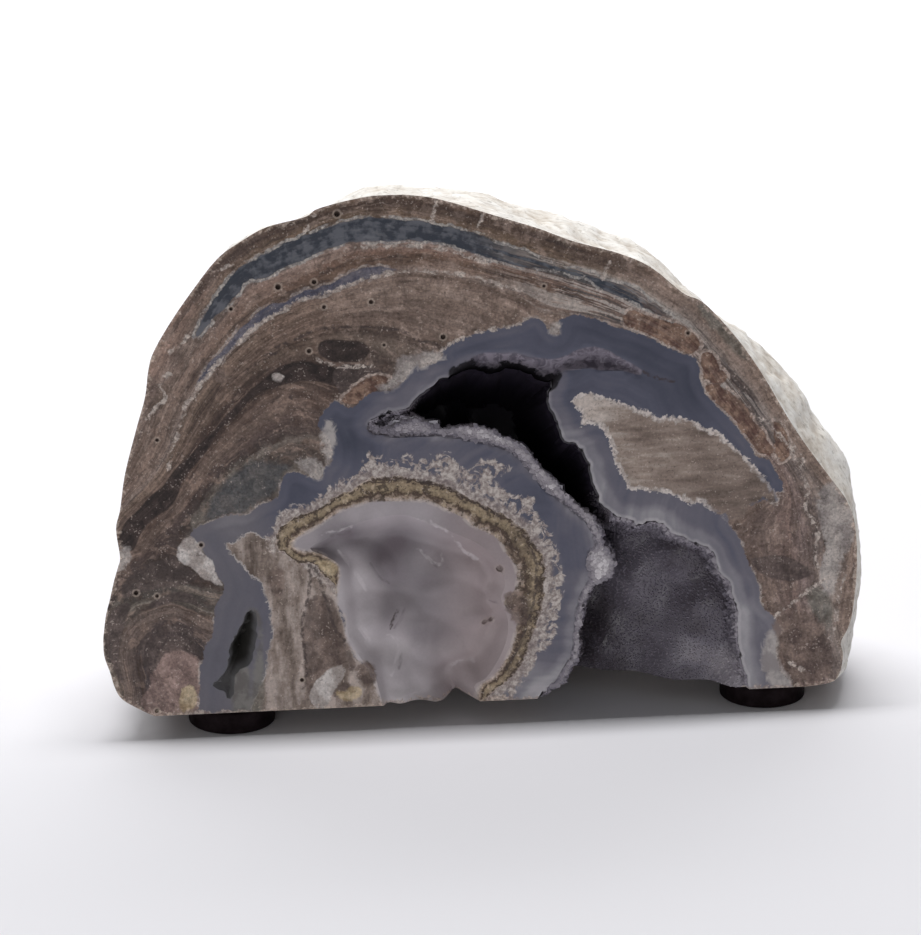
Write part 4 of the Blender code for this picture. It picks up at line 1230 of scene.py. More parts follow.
# Right of the crown the strands are packed and run from slate to cream.
packed = times(eased(tree, flank, 0.5, 0.62), eased(tree, flank, 0.86, 0.74), eased(tree, layer, 2.4, 3.6),
               eased(tree, layer, 12.5, 11.5))
braid = along_layers(20.0, 0.75, 2.0, 2.0)
colour = laid(colour, times(packed, eased(tree, braid, 0.5, 0.42), 0.8), (60, 60, 62))
colour = laid(colour, times(packed, eased(tree, braid, 0.52, 0.58), 0.8), (136, 129, 124))
colour = scaled(tree, colour, wandered(1.0, threads, 1.0))
# Further in the rock is darker and warmer, except in the crown's core.
warmer = mixed(tree, 1.0, colour, INNER_WARMTH, "MULTIPLY")
colour = mixed(tree, times(eased(tree, layer, 10.5, 13.0), flipped(crown_core)), colour, warmer)
# Bands, lenses and patches laid over them.
for name, tones, amount, softness, share in (
    ("blue_band", ((42, 46, 54), (76, 78, 84)), 0.9, 0.14, 0.95),
    ("purple_band", ((58, 59, 72), (80, 78, 86)), 0.7, 0.12, 0.93),
    ("brown_streak", ((30, 24, 23), (48, 39, 37)), 0.4, 0.15, 0.94),
    ("green_zone", ((56, 57, 59), (76, 74, 74)), 1.6, 0.5, 0.85),
    ("dark_patch", ((54, 46, 44), (74, 64, 61)), 0.7, 0.15, 0.88),
    ("pink_patch", ((92, 76, 72), (120, 102, 96)), 0.9, 0.2, 0.85),
    ("jasper", ((70, 50, 43), (108, 87, 74)), 0.8, 0.12, 0.88),
):
    veined = maths(tree, "MULTIPLY_ADD", ragged, 0.6, times(strands, 0.4))
    cover = times(mask(name, amount, softness), share)
    if name == "blue_band":
        braided = times(eased(tree, flank, 0.5, 0.58), eased(tree, braid, 0.42, 0.52), 0.9)
        cover = times(cover, flipped(braided))
    colour = mixed(tree, cover, colour, two_tone(*tones, veined, 0.42, 0.58))
flakes = times(eased(tree, blots, 0.58, 0.66), mask("blue_band", 0.6, 0.2, -0.4))
colour = laid(colour, times(flakes, eased(tree, flank, 0.3, 0.6), 0.5), (108, 109, 112))
for name, width, share, tones in (
    ("blue_band", 0.3, 0.85, ((108, 105, 104), (146, 141, 136))),
    ("purple_band", 0.26, 0.75, ((108, 101, 99), (136, 127, 121))),
    ("jasper", 0.3, 0.85, ((112, 99, 92), (148, 135, 127))),
):
    rim = wandered(kept(tree, name), ragged, 1.4)
    rim = maths(tree, "ABSOLUTE", maths(tree, "ADD", rim, 0.2))
    cover = times(eased(tree, rim, width, width * 0.4), eased(tree, lumps, 0.4, 0.5), share)
    colour = mixed(tree, cover, colour, two_tone(*tones, ragged_fine))

# The agate: blue-grey and smooth, milkier in places, and paler along the mouth and along its own edge.
agate = kept(tree, "agate")
inward = add(tree, "ShaderNodeCombineXYZ", {0: times(agate, 0.8), 1: times(wander, 3.0), 2: 1.0}).outputs[0]
agate_bands = noise_at(tree, inward, 1.0, 1.0, 0.5)
hollow = kept(tree, "hollow")
milkiness = maths(tree, "MULTIPLY_ADD", wander, 0.2, times(agate_bands, 0.3))
milkiness = maths(tree, "MULTIPLY_ADD", kept(tree, "milk"), 0.5, milkiness)
lip = times(eased(tree, hollow, -2.8, -1.2), 0.2)
lip = maths(tree, "MULTIPLY_ADD", eased(tree, hollow, -0.6, -0.15), 0.14, lip)
milkiness = maths(tree, "ADD", milkiness, lip)
agate_tone = ramp(tree, milkiness, [
    (0.22, (50, 52, 63)), (0.42, (66, 67, 79)), (0.62, (83, 81, 89)), (0.8, (106, 104, 109)),
    (0.95, (132, 129, 132)),
], FACE_LIGHT)
across = add(tree, "ShaderNodeSeparateXYZ", {0: spot}).outputs[0]
flinty = eased(tree, across, *(across_at(pixel) for pixel in FLINT_TO_SLIT))
agate_tone = laid(agate_tone, times(flinty, 0.5), (84, 81, 84))
contact = times(mask("agate", 1.4, 0.15, 0.25, ragged_fine), eased(tree, lumps, 0.46, 0.56), 0.75)
colour = mixed(tree, contact, colour, two_tone((106, 98, 96), (142, 134, 128)))
inside_agate = mask("agate", 0.8, 0.1, 0.0, ragged_fine)
colour = mixed(tree, inside_agate, colour, agate_tone)

# The tan rock in the middle, streaked upwards, between the agate and the bowl.
drawn_up = stretched(tree, spot, (420.0, 420.0, 110.0))
upright = noise_at(tree, drawn_up, 1.0, 4.0, 0.55)
tan = ramp(tree, maths(tree, "MULTIPLY_ADD", upright, 0.7, times(lumps, 0.3)), [
    (0.38, (68, 58, 52)), (0.46, (102, 91, 84)), (0.58, (142, 131, 125)),
], FACE_LIGHT)
in_tan = mask("tan_centre", 0.9, 0.12, 0.0, ragged_fine)
around_tan = mask("tan_centre", 1.4, 0.15, 0.2, ragged_fine)
colour = mixed(tree, around_tan, colour, two_tone((112, 106, 104), (146, 140, 137)))
colour = mixed(tree, in_tan, colour, tan)

# The chalky fringe round the ring, branching into the agate, and the ring's own bands and nodules.
branches = noise_at(tree, spot, 520.0, 4.0, 0.6, 1.4)
ring_outer = kept(tree, "ring_outer")
ring_inner = kept(tree, "ring_inner")
sprigs = noise_at(tree, spot, 760.0, 4.0, 0.65, 0.8)
fringe = mask("fringe", 3.4, 0.25, 0.4, sprigs)
twigs = maths(tree, "MAXIMUM", eased(tree, sprigs, 0.42, 0.5), eased(tree, ring_outer, -1.6, -0.6))
chalk = ramp(tree, maths(tree, "MULTIPLY_ADD", ragged_fine, 0.5, times(sprigs, 0.5)), [
    (0.4, (98, 88, 86)), (0.5, (126, 116, 111)), (0.6, (158, 151, 146)),
], FACE_LIGHT)
colour = mixed(tree, times(fringe, twigs, 0.9), colour, chalk)
ring_left = maths(tree, "MAXIMUM", times(ring_inner, -1.0), RING_LEAST)
ring_width = maths(tree, "ADD", ring_outer, ring_left)
ring_share = maths(tree, "DIVIDE", ring_outer, ring_width)
ring_share = wandered(ring_share, branches, 0.75)
ring_share = wandered(ring_share, ragged_fine, 0.2)
ring_tone = ramp(tree, ring_share, [
    (0.0, (142, 130, 121)), (0.07, (72, 60, 52)), (0.15, (54, 45, 39)), (0.21, (108, 95, 78)),
    (0.4, (120, 107, 88)), (0.56, (98, 85, 69)), (0.63, (58, 47, 40)), (0.74, (76, 63, 54)),
    (0.82, (112, 98, 86)), (0.96, (132, 120, 112)),
], FACE_LIGHT)
nodules = noise_at(tree, spot, 800.0, 3.0, 0.6)
ring_tone = laid(ring_tone, times(eased(tree, nodules, 0.57, 0.63), 0.6), (144, 130, 112))
ring_tone = laid(ring_tone, times(eased(tree, nodules, 0.44, 0.38), 0.8), (54, 45, 39))
darker = times(eased(tree, across, *(across_at(pixel) for pixel in RING_LIGHT_TO_DARK)), 0.5)
ring_tone = laid(ring_tone, times(darker, eased(tree, branches, 0.56, 0.48)), (60, 50, 44))
colour = mixed(tree, mask("ring_outer", 1.2, 0.12, 0.0, branches), colour, ring_tone)

# The milky bowl inside the ring, cool on the left and pinkish on the right.
# The bowl's lightness holds painted light and shade on its lobes as well as its milky colour.
bowl_shaded_tone = wandered(kept(tree, "bowl_tone_and_shade"), wander, 0.25)
milk = ramp(tree, bowl_shaded_tone, [
    (0.0, (84, 76, 81)), (0.25, (102, 97, 100)), (0.5, (124, 118, 121)), (0.9, (152, 147, 149)),
], FACE_LIGHT)
warm = times(eased(tree, across, *(across_at(pixel) for pixel in BOWL_COOL_TO_WARM)), 0.9)
milk = mixed(tree, warm, milk, linear((255, 240, 236)), "MULTIPLY")
in_bowl = mask("ring_inner", 0.6, 0.15)
skin = maths(tree, "ABSOLUTE", kept(tree, "ring_inner"))
ridge_highlight = kept(tree, "ridge_highlight")
crease_shade = kept(tree, "crease_shade")
ridge_highlight = wandered(ridge_highlight, ragged, 0.8)
# Painted highlights along the ridges and painted shade in the creases.
milk = laid(milk, times(eased(tree, ridge_highlight, 0.32, 0.1), 0.45), (160, 155, 157))
milk = laid(milk, times(eased(tree, crease_shade, 0.36, 0.05), 0.5), (78, 71, 75))
colour = mixed(tree, in_bowl, colour, milk)
skin = times(eased(tree, skin, 0.4, 0.12), eased(tree, ragged, 0.45, 0.55), 0.6)
colour = laid(colour, skin, (148, 140, 136))

# The tan island in the agate, with a sugary white edge.
slant = {0: spot, 2: (0.0, 0.47, 0.0), 3: (150.0, 600.0, 800.0)}
slanted = noise_at(tree, add(tree, "ShaderNodeMapping", slant).outputs[0], 1.0, 3.0, 0.55)
island_tone = wandered(kept(tree, "island_tone"), slanted, 1.3)
island_colour = ramp(tree, island_tone, [
    (0.05, (74, 64, 58)), (0.35, (98, 86, 79)), (0.6, (117, 105, 97)), (0.95, (150, 141, 135)),
], FACE_LIGHT)
sugar = two_tone((128, 120, 116), (160, 153, 149), ragged_fine)
sugared = eased(tree, kept(tree, "island_tone"), 0.22, 0.36)
sugar_rim = times(mask("island", 1.5, 0.12, 0.2, ragged_fine), sugared)
colour = mixed(tree, sugar_rim, colour, sugar)
colour = mixed(tree, mask("island", 2.6, 0.3, -0.35, branches), colour, island_colour)
in_island = mask("island", 0.5, 0.2)

# Smaller patches: pale flint, olive, brown, gold, and white sugary quartz.
for name, tones, amount, softness, share in (
    ("flint", ((116, 110, 108), (150, 144, 140)), 2.2, 0.4, 0.75),
    ("olive", ((74, 70, 64), (98, 96, 90)), 1.2, 0.4, 0.7),
    ("brown", ((64, 53, 49), (98, 84, 77)), 1.4, 0.3, 0.8),
    ("gold", ((118, 102, 78), (156, 142, 118)), 1.0, 0.2, 0.85),
    ("white_patch", ((124, 116, 112), (160, 155, 152)), 0.9, 0.15, 0.95),
):
    cover = times(mask(name, amount, softness, 0.0, branches), share)
    colour = mixed(tree, cover, colour, two_tone(*tones, lumps))

# Thin lines: pale healed cracks and bedding planes, broken here and there, and dark ones.
line = wandered(kept(tree, "pale_line"), sprigs, 1.8)
pale = times(eased(tree, line, 0.34, 0.12), eased(tree, ragged, 0.36, 0.46))
line = wandered(kept(tree, "dark_line"), ragged_fine, 0.5)
dark = times(eased(tree, line, 0.36, 0.1), eased(tree, ragged, 0.34, 0.46))
on_front = maths(tree, "GREATER_THAN", kept(tree, "edge"), -1.0)
pale_tone = two_tone((122, 112, 106), (156, 147, 140), ragged_fine)
colour = mixed(tree, times(pale, on_front, 0.88), colour, pale_tone)
colour = laid(colour, times(dark, on_front, 0.8), (50, 42, 41))

# The pits have painted shade, dark inside them, with a pale rim where the stone has them.
pit = kept(tree, "pit")
in_stone = maths(tree, "MULTIPLY_ADD", in_bowl, -0.6, 1.0)
colour = laid(colour, times(eased(tree, pit, -0.4, -0.2), 0.5, in_stone), (134, 122, 112))
# Painted shade inside each pit.
colour = laid(colour, times(eased(tree, pit, -0.1, 0.05), in_stone), (56, 47, 43))

# The step above the mouth is dull. Painted shade lies near black on the stone along the mouth's rim, and
# darkens the narrow hollow the deeper it goes. The face's very edge is chipped and chalky.
in_step = mask("step", 0.3, 0.15)
colour = mixed(tree, in_step, colour, two_tone((66, 62, 70), (96, 91, 99), branches))
# Painted shade: near black along the mouth's rim, running on into the dark of the hollow.
mouth_rim_shade = wandered(hollow, ragged, 2.4)
mouth_rim_shade = times(eased(tree, mouth_rim_shade, -1.1, -0.7), eased(tree, kept(tree, "step"), -0.7, -0.35))
colour = laid(colour, times(mouth_rim_shade, 0.94), (14, 12, 15))
# Painted shade: the narrow hollow darkens the deeper it lies behind the face.
slit_depth_shade = eased(tree, kept(tree, "depth"), 0.5, 2.5)
slit_shaded_tone = mixed(tree, slit_depth_shade, linear((78, 77, 78), FACE_LIGHT), linear((44, 43, 40), FACE_LIGHT))
colour = mixed(tree, times(mask("slit", 0.3, 0.2), 0.95), colour, slit_shaded_tone)
chips = flipped(mask("edge", 3.2, 0.2, -0.3, branches))
chalky = two_tone((112, 98, 90), (164, 151, 140), ragged_fine)
colour = mixed(tree, times(chips, on_front, 0.6), colour, chalky)

# Only the rock is granular; agate and bowl are smooth.
clear_agate = times(inside_agate, flipped(in_tan), flipped(in_island), flipped(mask("ring_outer", 0.6, 0.12)))
smooth = maths(tree, "MAXIMUM", clear_agate, in_bowl)
smooth = maths(tree, "MAXIMUM", smooth, mask("blue_band", 0.6, 0.2))
grainy = flipped(smooth)
light_specks = times(eased(tree, specks, 0.6, 0.72), eased(tree, ragged, 0.46, 0.58), grainy, 0.4)
dark_specks = times(eased(tree, specks, 0.4, 0.28), eased(tree, ragged, 0.58, 0.46), grainy, 0.45)
colour = laid(colour, light_specks, (160, 148, 140))
colour = laid(colour, dark_specks, (50, 42, 38))
calm = flipped(times(maths(tree, "MAXIMUM", in_tan, in_island), 0.55))
grainy = maths(tree, "MULTIPLY_ADD", times(grainy, calm), 1.15, 0.15)
colour = grouped(tree, grain_group, {"Colour": colour, "Place": spot, "Speckle": grainy, "Blotch": grainy})
tree.links.new(colour, shader.inputs["Base Color"])
rough = maths(tree, "MULTIPLY_ADD", eased(tree, kept(tree, "depth"), 0.02, 0.3), 0.25, 0.28)
rough = maths(tree, "MULTIPLY_ADD", ragged_fine, 0.12, rough)
rough = maths(tree, "MULTIPLY_ADD", mouth_rim_shade, 0.4, rough)
tree.links.new(rough, shader.inputs["Roughness"])
roughen(ragged_fine, 0.06, 0.2)
stone_data.materials.append(cut_material)

# The rind: pale, chalky and over-lit, with painted shade, a tan darkening, in its hollows.
rind_material, tree, shader = new_material("rind", 0.85)
spot = add(tree, "ShaderNodeTexCoord").outputs["Object"]
ragged = noise_at(tree, spot, 420.0, 5.0, 0.65)
wander = noise_at(tree, spot, 90.0, 4.0, 0.6)
colour = ramp(tree, maths(tree, "MULTIPLY_ADD", ragged, 0.5, times(wander, 0.5)), [
    (0.32, (176, 164, 150)), (0.42, (222, 215, 206)), (0.52, (240, 237, 232)), (0.66, (246, 244, 241)),
])
# Painted shade: the rind is darker and tan where its surface is concave.
hollow_shade = eased(tree, add(tree, "ShaderNodeNewGeometry").outputs["Pointiness"], 0.44, 0.52)
colour = mixed(tree, hollow_shade, linear((176, 162, 146)), colour)
# Fine cracks that run round with the sawn edge, and grey-brown flecks.
cracks = noise_at(tree, stretched(tree, spot, (170.0, 1300.0, 170.0)), 1.0, 4.0, 0.65)
colour = mixed(tree, times(eased(tree, cracks, 0.47, 0.3), 0.4), colour, linear((138, 126, 113)))
flecks = noise_at(tree, spot, 1100.0, 3.0, 0.6)
colour = mixed(tree, times(eased(tree, flecks, 0.56, 0.7), 0.5), colour, linear((140, 131, 120)))
colour = grouped(tree, grain_group, {"Colour": colour, "Place": spot, "Speckle": 0.2, "Blotch": 0.3})
tree.links.new(colour, shader.inputs["Base Color"])
roughen(noise_at(tree, spot, 1500.0, 5.0, 0.7), 0.35, 0.6)
stone_data.materials.append(rind_material)

# The sawn base: the same rock, unpolished, with the saw's faint marks.
base_material, tree, shader = new_material("sawn_base", 0.7)
spot = add(tree, "ShaderNodeTexCoord").outputs["Object"]
wander = noise_at(tree, spot, 110.0, 4.0, 0.6)
colour = ramp(tree, wander, [(0.35, (120, 106, 98)), (0.5, (146, 130, 120)), (0.62, (166, 152, 142))])
colour = grouped(tree, grain_group, {"Colour": colour, "Place": spot, "Speckle": 0.5, "Blotch": 0.7})
tree.links.new(colour, shader.inputs["Base Color"])
saw = add(tree, "ShaderNodeTexWave", {"Vector": spot, "Scale": 300.0, "Distortion": 1.5, "Detail": 2.0})
roughen(saw.outputs["Fac"], 0.15, 0.2)
stone_data.materials.append(base_material)

stone_data.polygons.foreach_set("use_smooth", [True] * len(stone_data.polygons))
stone_data.set_sharp_from_angle(angle=STONE_SHARP)
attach(stone, "root")
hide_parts("nodule")


# The quartz: a crust of small crystals that lines the main hollow, standing free of the stone by a hair. The
# crust is one thin shell, and thousands of crystals are scattered over it and joined to it. Its sizes are in
# millimetres, and the densities are crystals to the square metre.
CRUST_GAP = 0.04
CRUST_THICKNESS = 0.36
CRUST_START, CRUST_START_SLOPE, CRUST_START_LEAST = 0.1, 0.4, 0.02
CRUST_STEP = 0.7
CRUST_ROWS = (0.1, 0.3, 0.6)
CRUST_MARGIN = 0.6
CRUST_FROM_EDGE, CRUST_FROM_BASE, CRUST_LEAST = 0.08, 0.05, 0.04
BARE_STRIP = 0.15
# The roof, where the crystals carry painted shade, the lip and a pale clump, by the photograph's pixels.
ROOF_LEFT, ROOF_RIGHT = (432, 388), (575, 388)
LIP_LEFT, LIP_RIGHT = (380, 430), (520, 430)
CLUMP, CLUMP_TONE, CLUMP_FADE = (601, 562), 0.9, 0.28
ROOF_SHADE_TONE = 0.03
GROWTH_TONE = 0.06
CRYSTAL_SEED = 11
CRYSTAL_DENSITY, CRYSTAL_SIZE = 9.0e6, 0.42
RIM_CRYSTAL_DENSITY, RIM_CRYSTAL_SIZE = 3.6e6, 0.95
CRYSTAL_SIDES, CRYSTAL_RADIUS = 6, 0.42
CRYSTAL_SMALLEST, CRYSTAL_LARGEST = 0.45, 1.35
# How light the crystals are, from 0 in the black of the mouth to 1 at the rim, at places read. The black of
# the deep mouth is painted shade, and the lighter tones on the wall are partly painted light.
CRYSTAL_TONES_AND_SHADE = (
    ((385, 421), 0.25), ((440, 405), 0.02), ((500, 400), 0.0), ((545, 410), 0.02), ((550, 450), 0.0),
    ((575, 480), 0.0), ((590, 512), 0.05), ((602, 540), 0.2), ((592, 600), 0.16), ((590, 640), 0.08),
    ((596, 655), 0.14), ((620, 540), 0.38), ((650, 545), 0.36), ((650, 570), 0.4), ((610, 590), 0.4),
    ((600, 620), 0.3), ((640, 610), 0.4), ((640, 645), 0.33), ((690, 560), 0.3), ((690, 600), 0.34),
    ((705, 580), 0.3), ((722, 610), 0.3), ((700, 640), 0.28), ((678, 664), 0.42), ((700, 668), 0.55),
    ((730, 670), 0.6), ((735, 640), 0.34), ((600, 665), 0.3), ((560, 720), 0.3), ((690, 684), 0.3),
)

low = np.minimum(hollow_rim.min(axis=0), fringe_rim.min(axis=0)) - CRUST_MARGIN
high = np.maximum(hollow_rim.max(axis=0), fringe_rim.max(axis=0)) + CRUST_MARGIN
grid = staggered(low, high, CRUST_STEP)
near = []
for rim in (hollow_rim, fringe_rim):
    outward = across_rim(np.roll(rim, -1, axis=0) - np.roll(rim, 1, axis=0))
    for inset in CRUST_ROWS:
        for row in (rim + outward * inset, rim - outward * inset):
            inside = (rim_distance(row, rim) > 0.85 * inset) & (druse_reach(row) < 1.2 * inset)
            near.append(row[inside])
within_hollow, within_fringe = (rim_distance(grid, rim) for rim in (hollow_rim, fringe_rim))
clear = (within_hollow > 0.0) | (np.abs(within_fringe - 0.4) > 0.5)
clear &= np.abs(within_hollow - 0.4) > 0.5
grid = grid[(druse_reach(grid) > 0.2) & clear]
frame_loop = np.array([(low[0], low[1]), (high[0], low[1]), (high[0], high[1]), (low[0], high[1])])
crust_plan, crust_faces = fill(frame_loop, [], np.vstack(near + [hollow_rim, grid]))
crust_faces = np.array([list(face) for face in crust_faces])
reach = druse_reach(crust_plan)
within = rim_distance(crust_plan, hollow_rim)
seat = np.clip(reach * DRUSE_SEAT_SLOPE, 0.0, DRUSE_SEAT)
outer = np.maximum(hollow_depth(crust_plan, CRUST_GAP), seat - CRUST_GAP)
start = np.clip(reach * CRUST_START_SLOPE, CRUST_START_LEAST, CRUST_START)
inner = np.maximum(hollow_depth(crust_plan, CRUST_GAP + CRUST_THICKNESS), start)
roof_left, roof_right = on_face([ROOF_LEFT, ROOF_RIGHT])
under_roof = (crust_plan[:, 0] > roof_left[0]) & (crust_plan[:, 0] < roof_right[0])
under_roof &= crust_plan[:, 1] > roof_left[1]
bare = under_roof & (within < BARE_STRIP)
used = (reach > CRUST_FROM_EDGE) & (crust_plan[:, 1] > CRUST_FROM_BASE) & ~bare
used &= outer > inner + CRUST_LEAST
spans = np.max([
    np.linalg.norm(crust_plan[crust_faces[:, a]] - crust_plan[crust_faces[:, b]], axis=1)
    for a, b in ((0, 1), (1, 2), (2, 0))
], axis=0)
triangles = crust_faces[used[crust_faces].all(axis=1) & (spans < 2.5 * CRUST_STEP)]
tone = blended(crust_plan, CRYSTAL_TONES_AND_SHADE)
edge = 1.0 - smooth_step((within - 0.2) / 1.1)
outside = within < 0.02
lip_left, lip_right = on_face([LIP_LEFT, LIP_RIGHT])[:, 0]
lip_tone = 0.2 + 0.2 * smooth_step((crust_plan[:, 0] - lip_left) / (lip_right - lip_left))
lip_tone = lip_tone + 0.34 * smooth_step(reach / 1.1)
# Painted light: crystals just inside the rim are made lighter, as if lit.
tone = np.where(outside, lip_tone, np.maximum(tone, 0.5 * edge * smooth_step(tone / 0.3)))
clump = np.linalg.norm(crust_plan - on_face([CLUMP]), axis=1)
tone = np.maximum(tone, CLUMP_TONE - CLUMP_FADE * clump)
# Painted shade: under the roof the crystals are near black.
tone[under_roof] = np.minimum(tone[under_roof], ROOF_SHADE_TONE)
mesh = bmesh.new()
tones = mesh.verts.layers.float.new("tone")
grows = mesh.verts.layers.float.new("grow")
rims = mesh.verts.layers.float.new("rim")
tops = [mesh.verts.new(point) for point in place(undercut(crust_plan, inner), inner) * MM]
lows = [mesh.verts.new(point) for point in place(undercut(crust_plan, outer), outer) * MM]
for index, (top, below) in enumerate(zip(tops, lows)):
    top[tones] = below[tones] = tone[index]
    top[grows] = 0.0 if tone[index] < GROWTH_TONE else 1.0
    top[rims] = 1.0 if outside[index] else (0.6 if edge[index] > 0.35 and tone[index] > 0.15 else 0.0)
sides = {}
for face in triangles:
    mesh.faces.new([tops[i] for i in face])
    mesh.faces.new([lows[i] for i in face[::-1]])
    for start, end in zip(face, np.roll(face, -1)):
        sides[(int(start), int(end))] = True
for start, end in sides:
    if (end, start) not in sides:
        mesh.faces.new([tops[start], lows[start], lows[end], tops[end]])
bmesh.ops.delete(mesh, geom=[vertex for vertex in mesh.verts if not vertex.link_faces], context="VERTS")
bmesh.ops.recalc_face_normals(mesh, faces=mesh.faces)
crust_data = bpy.data.meshes.new("quartz_druse")
mesh.to_mesh(crust_data)
mesh.free()
crust = bpy.data.objects.new("quartz_druse", crust_data)
bpy.context.scene.collection.objects.link(crust)

crust_material, tree, shader = new_material("quartz", 0.3)
spot = add(tree, "ShaderNodeTexCoord").outputs["Object"]
level = wandered(kept(tree, "tone"), noise_at(tree, spot, 260.0, 3.0, 0.6), 0.3)
level = maths(tree, "MULTIPLY_ADD", kept(tree, "glint"), times(kept(tree, "tone"), 0.26), level)
# Where the tone is low the colour falls to near black: painted shade in the mouth.
level = times(level, eased(tree, kept(tree, "tone"), -0.05, 0.12))
colour = ramp(tree, level, [
    (0.0, (21, 18, 25)), (0.25, (50, 45, 50)), (0.42, (83, 79, 87)), (0.7, (120, 115, 120)),
    (0.95, (166, 162, 164)),
], FACE_LIGHT)
tree.links.new(colour, shader.inputs["Base Color"])
crust_data.materials.append(crust_material)

# The growth: six-sided points scattered over the crust, small ones in the hollow and larger ones at its rim.
grow = bpy.data.node_groups.new("crystal_growth", "GeometryNodeTree")
for label, kind in (
    ("Geometry", "NodeSocketGeometry"), ("Density", "NodeSocketFloat"), ("Size", "NodeSocketFloat"),
    ("Rim Density", "NodeSocketFloat"), ("Rim Size", "NodeSocketFloat"), ("Seed", "NodeSocketInt"),
):
    grow.interface.new_socket(label, in_out="INPUT", socket_type=kind)
grow.interface.new_socket("Geometry", in_out="OUTPUT", socket_type="NodeSocketGeometry")
given = add(grow, "NodeGroupInput").outputs


def random_number(low, high):
    """A number for each crystal."""
    sockets = {2: low, 3: high, "Seed": given["Seed"]}
    return add(grow, "FunctionNodeRandomValue", sockets, data_type="FLOAT").outputs[1]


parts = [given["Geometry"]]
for label, share, slender, lean in (("", "grow", 0.85, 0.35), ("Rim ", "rim", 1.1, 0.5)):
    share = add(grow, "GeometryNodeInputNamedAttribute", {"Name": share}, data_type="FLOAT")
    density = maths(grow, "MULTIPLY", given[label + "Density"], share.outputs["Attribute"])
    scattered = add(grow, "GeometryNodeDistributePointsOnFaces", {
        "Mesh": given["Geometry"], "Density": density, "Seed": given["Seed"]
    })
    point = add(grow, "GeometryNodeMeshCone", {
        "Vertices": CRYSTAL_SIDES, "Radius Top": 0.0, "Radius Bottom": CRYSTAL_RADIUS,
        "Depth": slender * CRYSTAL_RADIUS,
    }, fill_type="NGON").outputs["Mesh"]
    tilt = add(grow, "FunctionNodeRandomValue", {
        0: (-lean, -lean, 0.0), 1: (lean, lean, 6.28), "Seed": given["Seed"]
    }, data_type="FLOAT_VECTOR").outputs[0]
    tilt = add(grow, "FunctionNodeEulerToRotation", {0: tilt}).outputs[0]
    turned = add(grow, "FunctionNodeRotateRotation", {
        0: scattered.outputs["Rotation"], 1: tilt
    }, rotation_space="LOCAL").outputs[0]
    size = maths(grow, "MULTIPLY", random_number(CRYSTAL_SMALLEST, CRYSTAL_LARGEST), given[label + "Size"])
    placed = add(grow, "GeometryNodeInstanceOnPoints", {
        "Points": scattered.outputs["Points"], "Instance": point, "Rotation": turned, "Scale": size
    }).outputs[0]
    parts.append(add(grow, "GeometryNodeStoreNamedAttribute", {
        "Geometry": placed, "Name": "glint", "Value": random_number(0.0, 1.0)
    }, data_type="FLOAT", domain="INSTANCE").outputs[0])
joined = add(grow, "GeometryNodeJoinGeometry")
for part in parts:
    grow.links.new(part, joined.inputs[0])
realized = add(grow, "GeometryNodeRealizeInstances", {0: joined.outputs[0]}).outputs[0]
finished = add(grow, "GeometryNodeSetMaterial", {"Geometry": realized, "Material": crust_material}).outputs[0]
grow.links.new(finished, add(grow, "NodeGroupOutput").inputs[0])
growth = crust.modifiers.new("growth", "NODES")
growth.node_group = grow
wanted = {
    "Density": CRYSTAL_DENSITY, "Size": CRYSTAL_SIZE * MM,
    "Rim Density": RIM_CRYSTAL_DENSITY, "Rim Size": RIM_CRYSTAL_SIZE * MM, "Seed": CRYSTAL_SEED,
}
for item in grow.interface.items_tree:
    if item.in_out == "INPUT" and item.name in wanted:
        growth[item.identifier] = wanted[item.name]
bpy.context.view_layer.update()
grown = bpy.data.meshes.new_from_object(crust.evaluated_get(bpy.context.evaluated_depsgraph_get()))
crust.modifiers.clear()
crust.data = grown
grown.name = "quartz_druse"
# No crystal reaches past the sawn base or the plane of the face.
kept_in = np.zeros(len(grown.vertices) * 3)
grown.vertices.foreach_get("co", kept_in)
kept_in = kept_in.reshape(-1, 3)
kept_in[:, 2] = np.maximum(kept_in[:, 2], (BASE_HEIGHT + 0.05) * MM)
face_plane = (kept_in[:, 2] - BASE_HEIGHT * MM) * math.tan(FACE_LEAN)
kept_in[:, 1] = np.maximum(kept_in[:, 1], (nodule_low[1] + 0.02) * MM + face_plane)
grown.vertices.foreach_set("co", kept_in.ravel())
grown.update()
grown.materials.clear()
grown.materials.append(crust_material)
grown.polygons.foreach_set("material_index", [0] * len(grown.polygons))
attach(crust, "root")
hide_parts("quartz_crust")


# The feet: three low round bumpers of black-brown rubber, moulded with softened edges and stuck to the sawn
# base. Two show under the front, and the third is behind, under the stone's middle.
FOOT_SIDES = 96
FOOT_SHARP = math.radians(50)
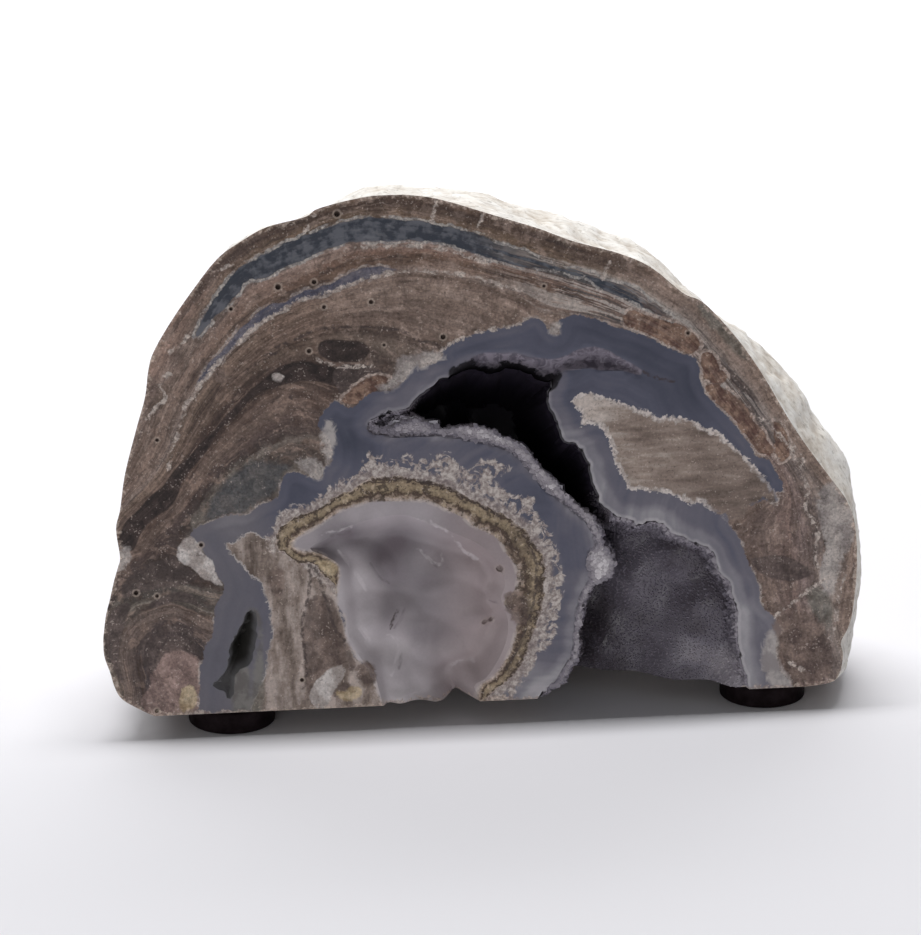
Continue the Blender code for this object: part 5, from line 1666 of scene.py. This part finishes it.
# The softened edges: how far in from the side, and how far from the flat underneath or on top.
FOOT_LOWER_EDGE = ((0.5, 0.0), (0.2, 0.05), (0.05, 0.2), (0.0, 0.5))
FOOT_UPPER_EDGE = ((0.0, 0.8), (0.1, 0.35), (0.35, 0.1), (0.9, 0.0))
rubber_material, tree, shader = new_material("rubber", 0.75)
shader.inputs["Specular IOR Level"].default_value = 0.08
spot = add(tree, "ShaderNodeTexCoord").outputs["Object"]
colour = ramp(tree, noise_at(tree, spot, 400.0, 4.0, 0.6), [(0.35, (22, 14, 16)), (0.65, (38, 30, 33))])
tree.links.new(colour, shader.inputs["Base Color"])
roughen(noise_at(tree, spot, 2500.0, 3.0, 0.6), 0.2, 0.2)
for node in ("foot_front_left", "foot_front_right", "foot_back"):
    low, high = (np.array(corner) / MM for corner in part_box(node))
    middle, radius, top = (low + high) / 2, (high - low)[0] / 2, high[2]
    profile = [(0.0, 0.0)] + [(radius - inward, height) for inward, height in FOOT_LOWER_EDGE]
    profile += [(radius - inward, top - down) for inward, down in FOOT_UPPER_EDGE] + [(0.0, top)]
    mesh = bmesh.new()
    rows = []
    for reach, height in profile:
        turns = np.arange(FOOT_SIDES if reach else 1) * math.tau / FOOT_SIDES
        rows.append([
            mesh.verts.new(((middle[0] + reach * math.cos(turn)) * MM,
                            (middle[1] + reach * math.sin(turn)) * MM, height * MM))
            for turn in turns
        ])
    for lower, upper in zip(rows, rows[1:]):
        for i in range(FOOT_SIDES):
            j = (i + 1) % FOOT_SIDES
            corners = [lower[i % len(lower)], lower[j % len(lower)]]
            corners += [upper[j % len(upper)], upper[i % len(upper)]]
            mesh.faces.new(list(dict.fromkeys(corners)))
    bmesh.ops.recalc_face_normals(mesh, faces=mesh.faces)
    data = bpy.data.meshes.new("bumper_" + node)
    mesh.to_mesh(data)
    mesh.free()
    data.polygons.foreach_set("use_smooth", [True] * len(data.polygons))
    data.set_sharp_from_angle(angle=FOOT_SHARP)
    data.materials.append(rubber_material)
    foot = bpy.data.objects.new("bumper_" + node, data)
    bpy.context.scene.collection.objects.link(foot)
    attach(foot, "root")
    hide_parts(node)


# The stage: a wide pale floor that runs past the top of the frame. A narrow strip light hangs over the stone,
# just behind its face, a wide light washes the floor behind it, and a weak fill comes from the front left.
FLOOR_REACH = 3.0
# Each light's place and the point that it faces, its width and depth in metres, and its power in watts.
STUDIO_LIGHTS = (
    ("strip_light", (-0.02, 0.06, 0.8), (-0.02, 0.06, 0.0), 0.6, 0.08, 5.0),
    ("backdrop_light", (0.0, 0.55, 0.5), (0.0, 0.55, 0.0), 1.2, 0.5, 4.8),
    ("front_fill", (-0.4, -1.05, 0.22), (0.0, 0.0, 0.04), 0.8, 0.35, 1.6),
)
WORLD_STRENGTH = 0.12
floor_data = bpy.data.meshes.new("floor")
floor_corners = [(x * FLOOR_REACH, y * FLOOR_REACH, 0) for x, y in ((-1, -1), (1, -1), (1, 1), (-1, 1))]
floor_data.from_pydata(floor_corners, [], [(0, 1, 2, 3)])
floor_material, tree, shader = new_material("floor", 0.9)
shader.inputs["Base Color"].default_value = (0.81, 0.805, 0.84, 1.0)
floor_data.materials.append(floor_material)
floor = bpy.data.objects.new("floor", floor_data)
bpy.context.scene.collection.objects.link(floor)
for name, light_place, aim, width, depth, power in STUDIO_LIGHTS:
    data = bpy.data.lights.new(name, "AREA")
    data.shape = "RECTANGLE"
    data.size, data.size_y = width, depth
    data.energy = power
    light = bpy.data.objects.new(name, data)
    bpy.context.scene.collection.objects.link(light)
    light.location = light_place
    light.rotation_euler = (Vector(light_place) - Vector(aim)).to_track_quat("Z", "Y").to_euler()
world = bpy.data.worlds.new("studio")
bpy.context.scene.world = world
world.use_nodes = True
world.node_tree.nodes["Background"].inputs["Color"].default_value = (1.0, 1.0, 1.0, 1.0)
world.node_tree.nodes["Background"].inputs["Strength"].default_value = WORLD_STRENGTH
bpy.context.scene.view_settings.view_transform = "Standard"

bpy.context.view_layer.update()
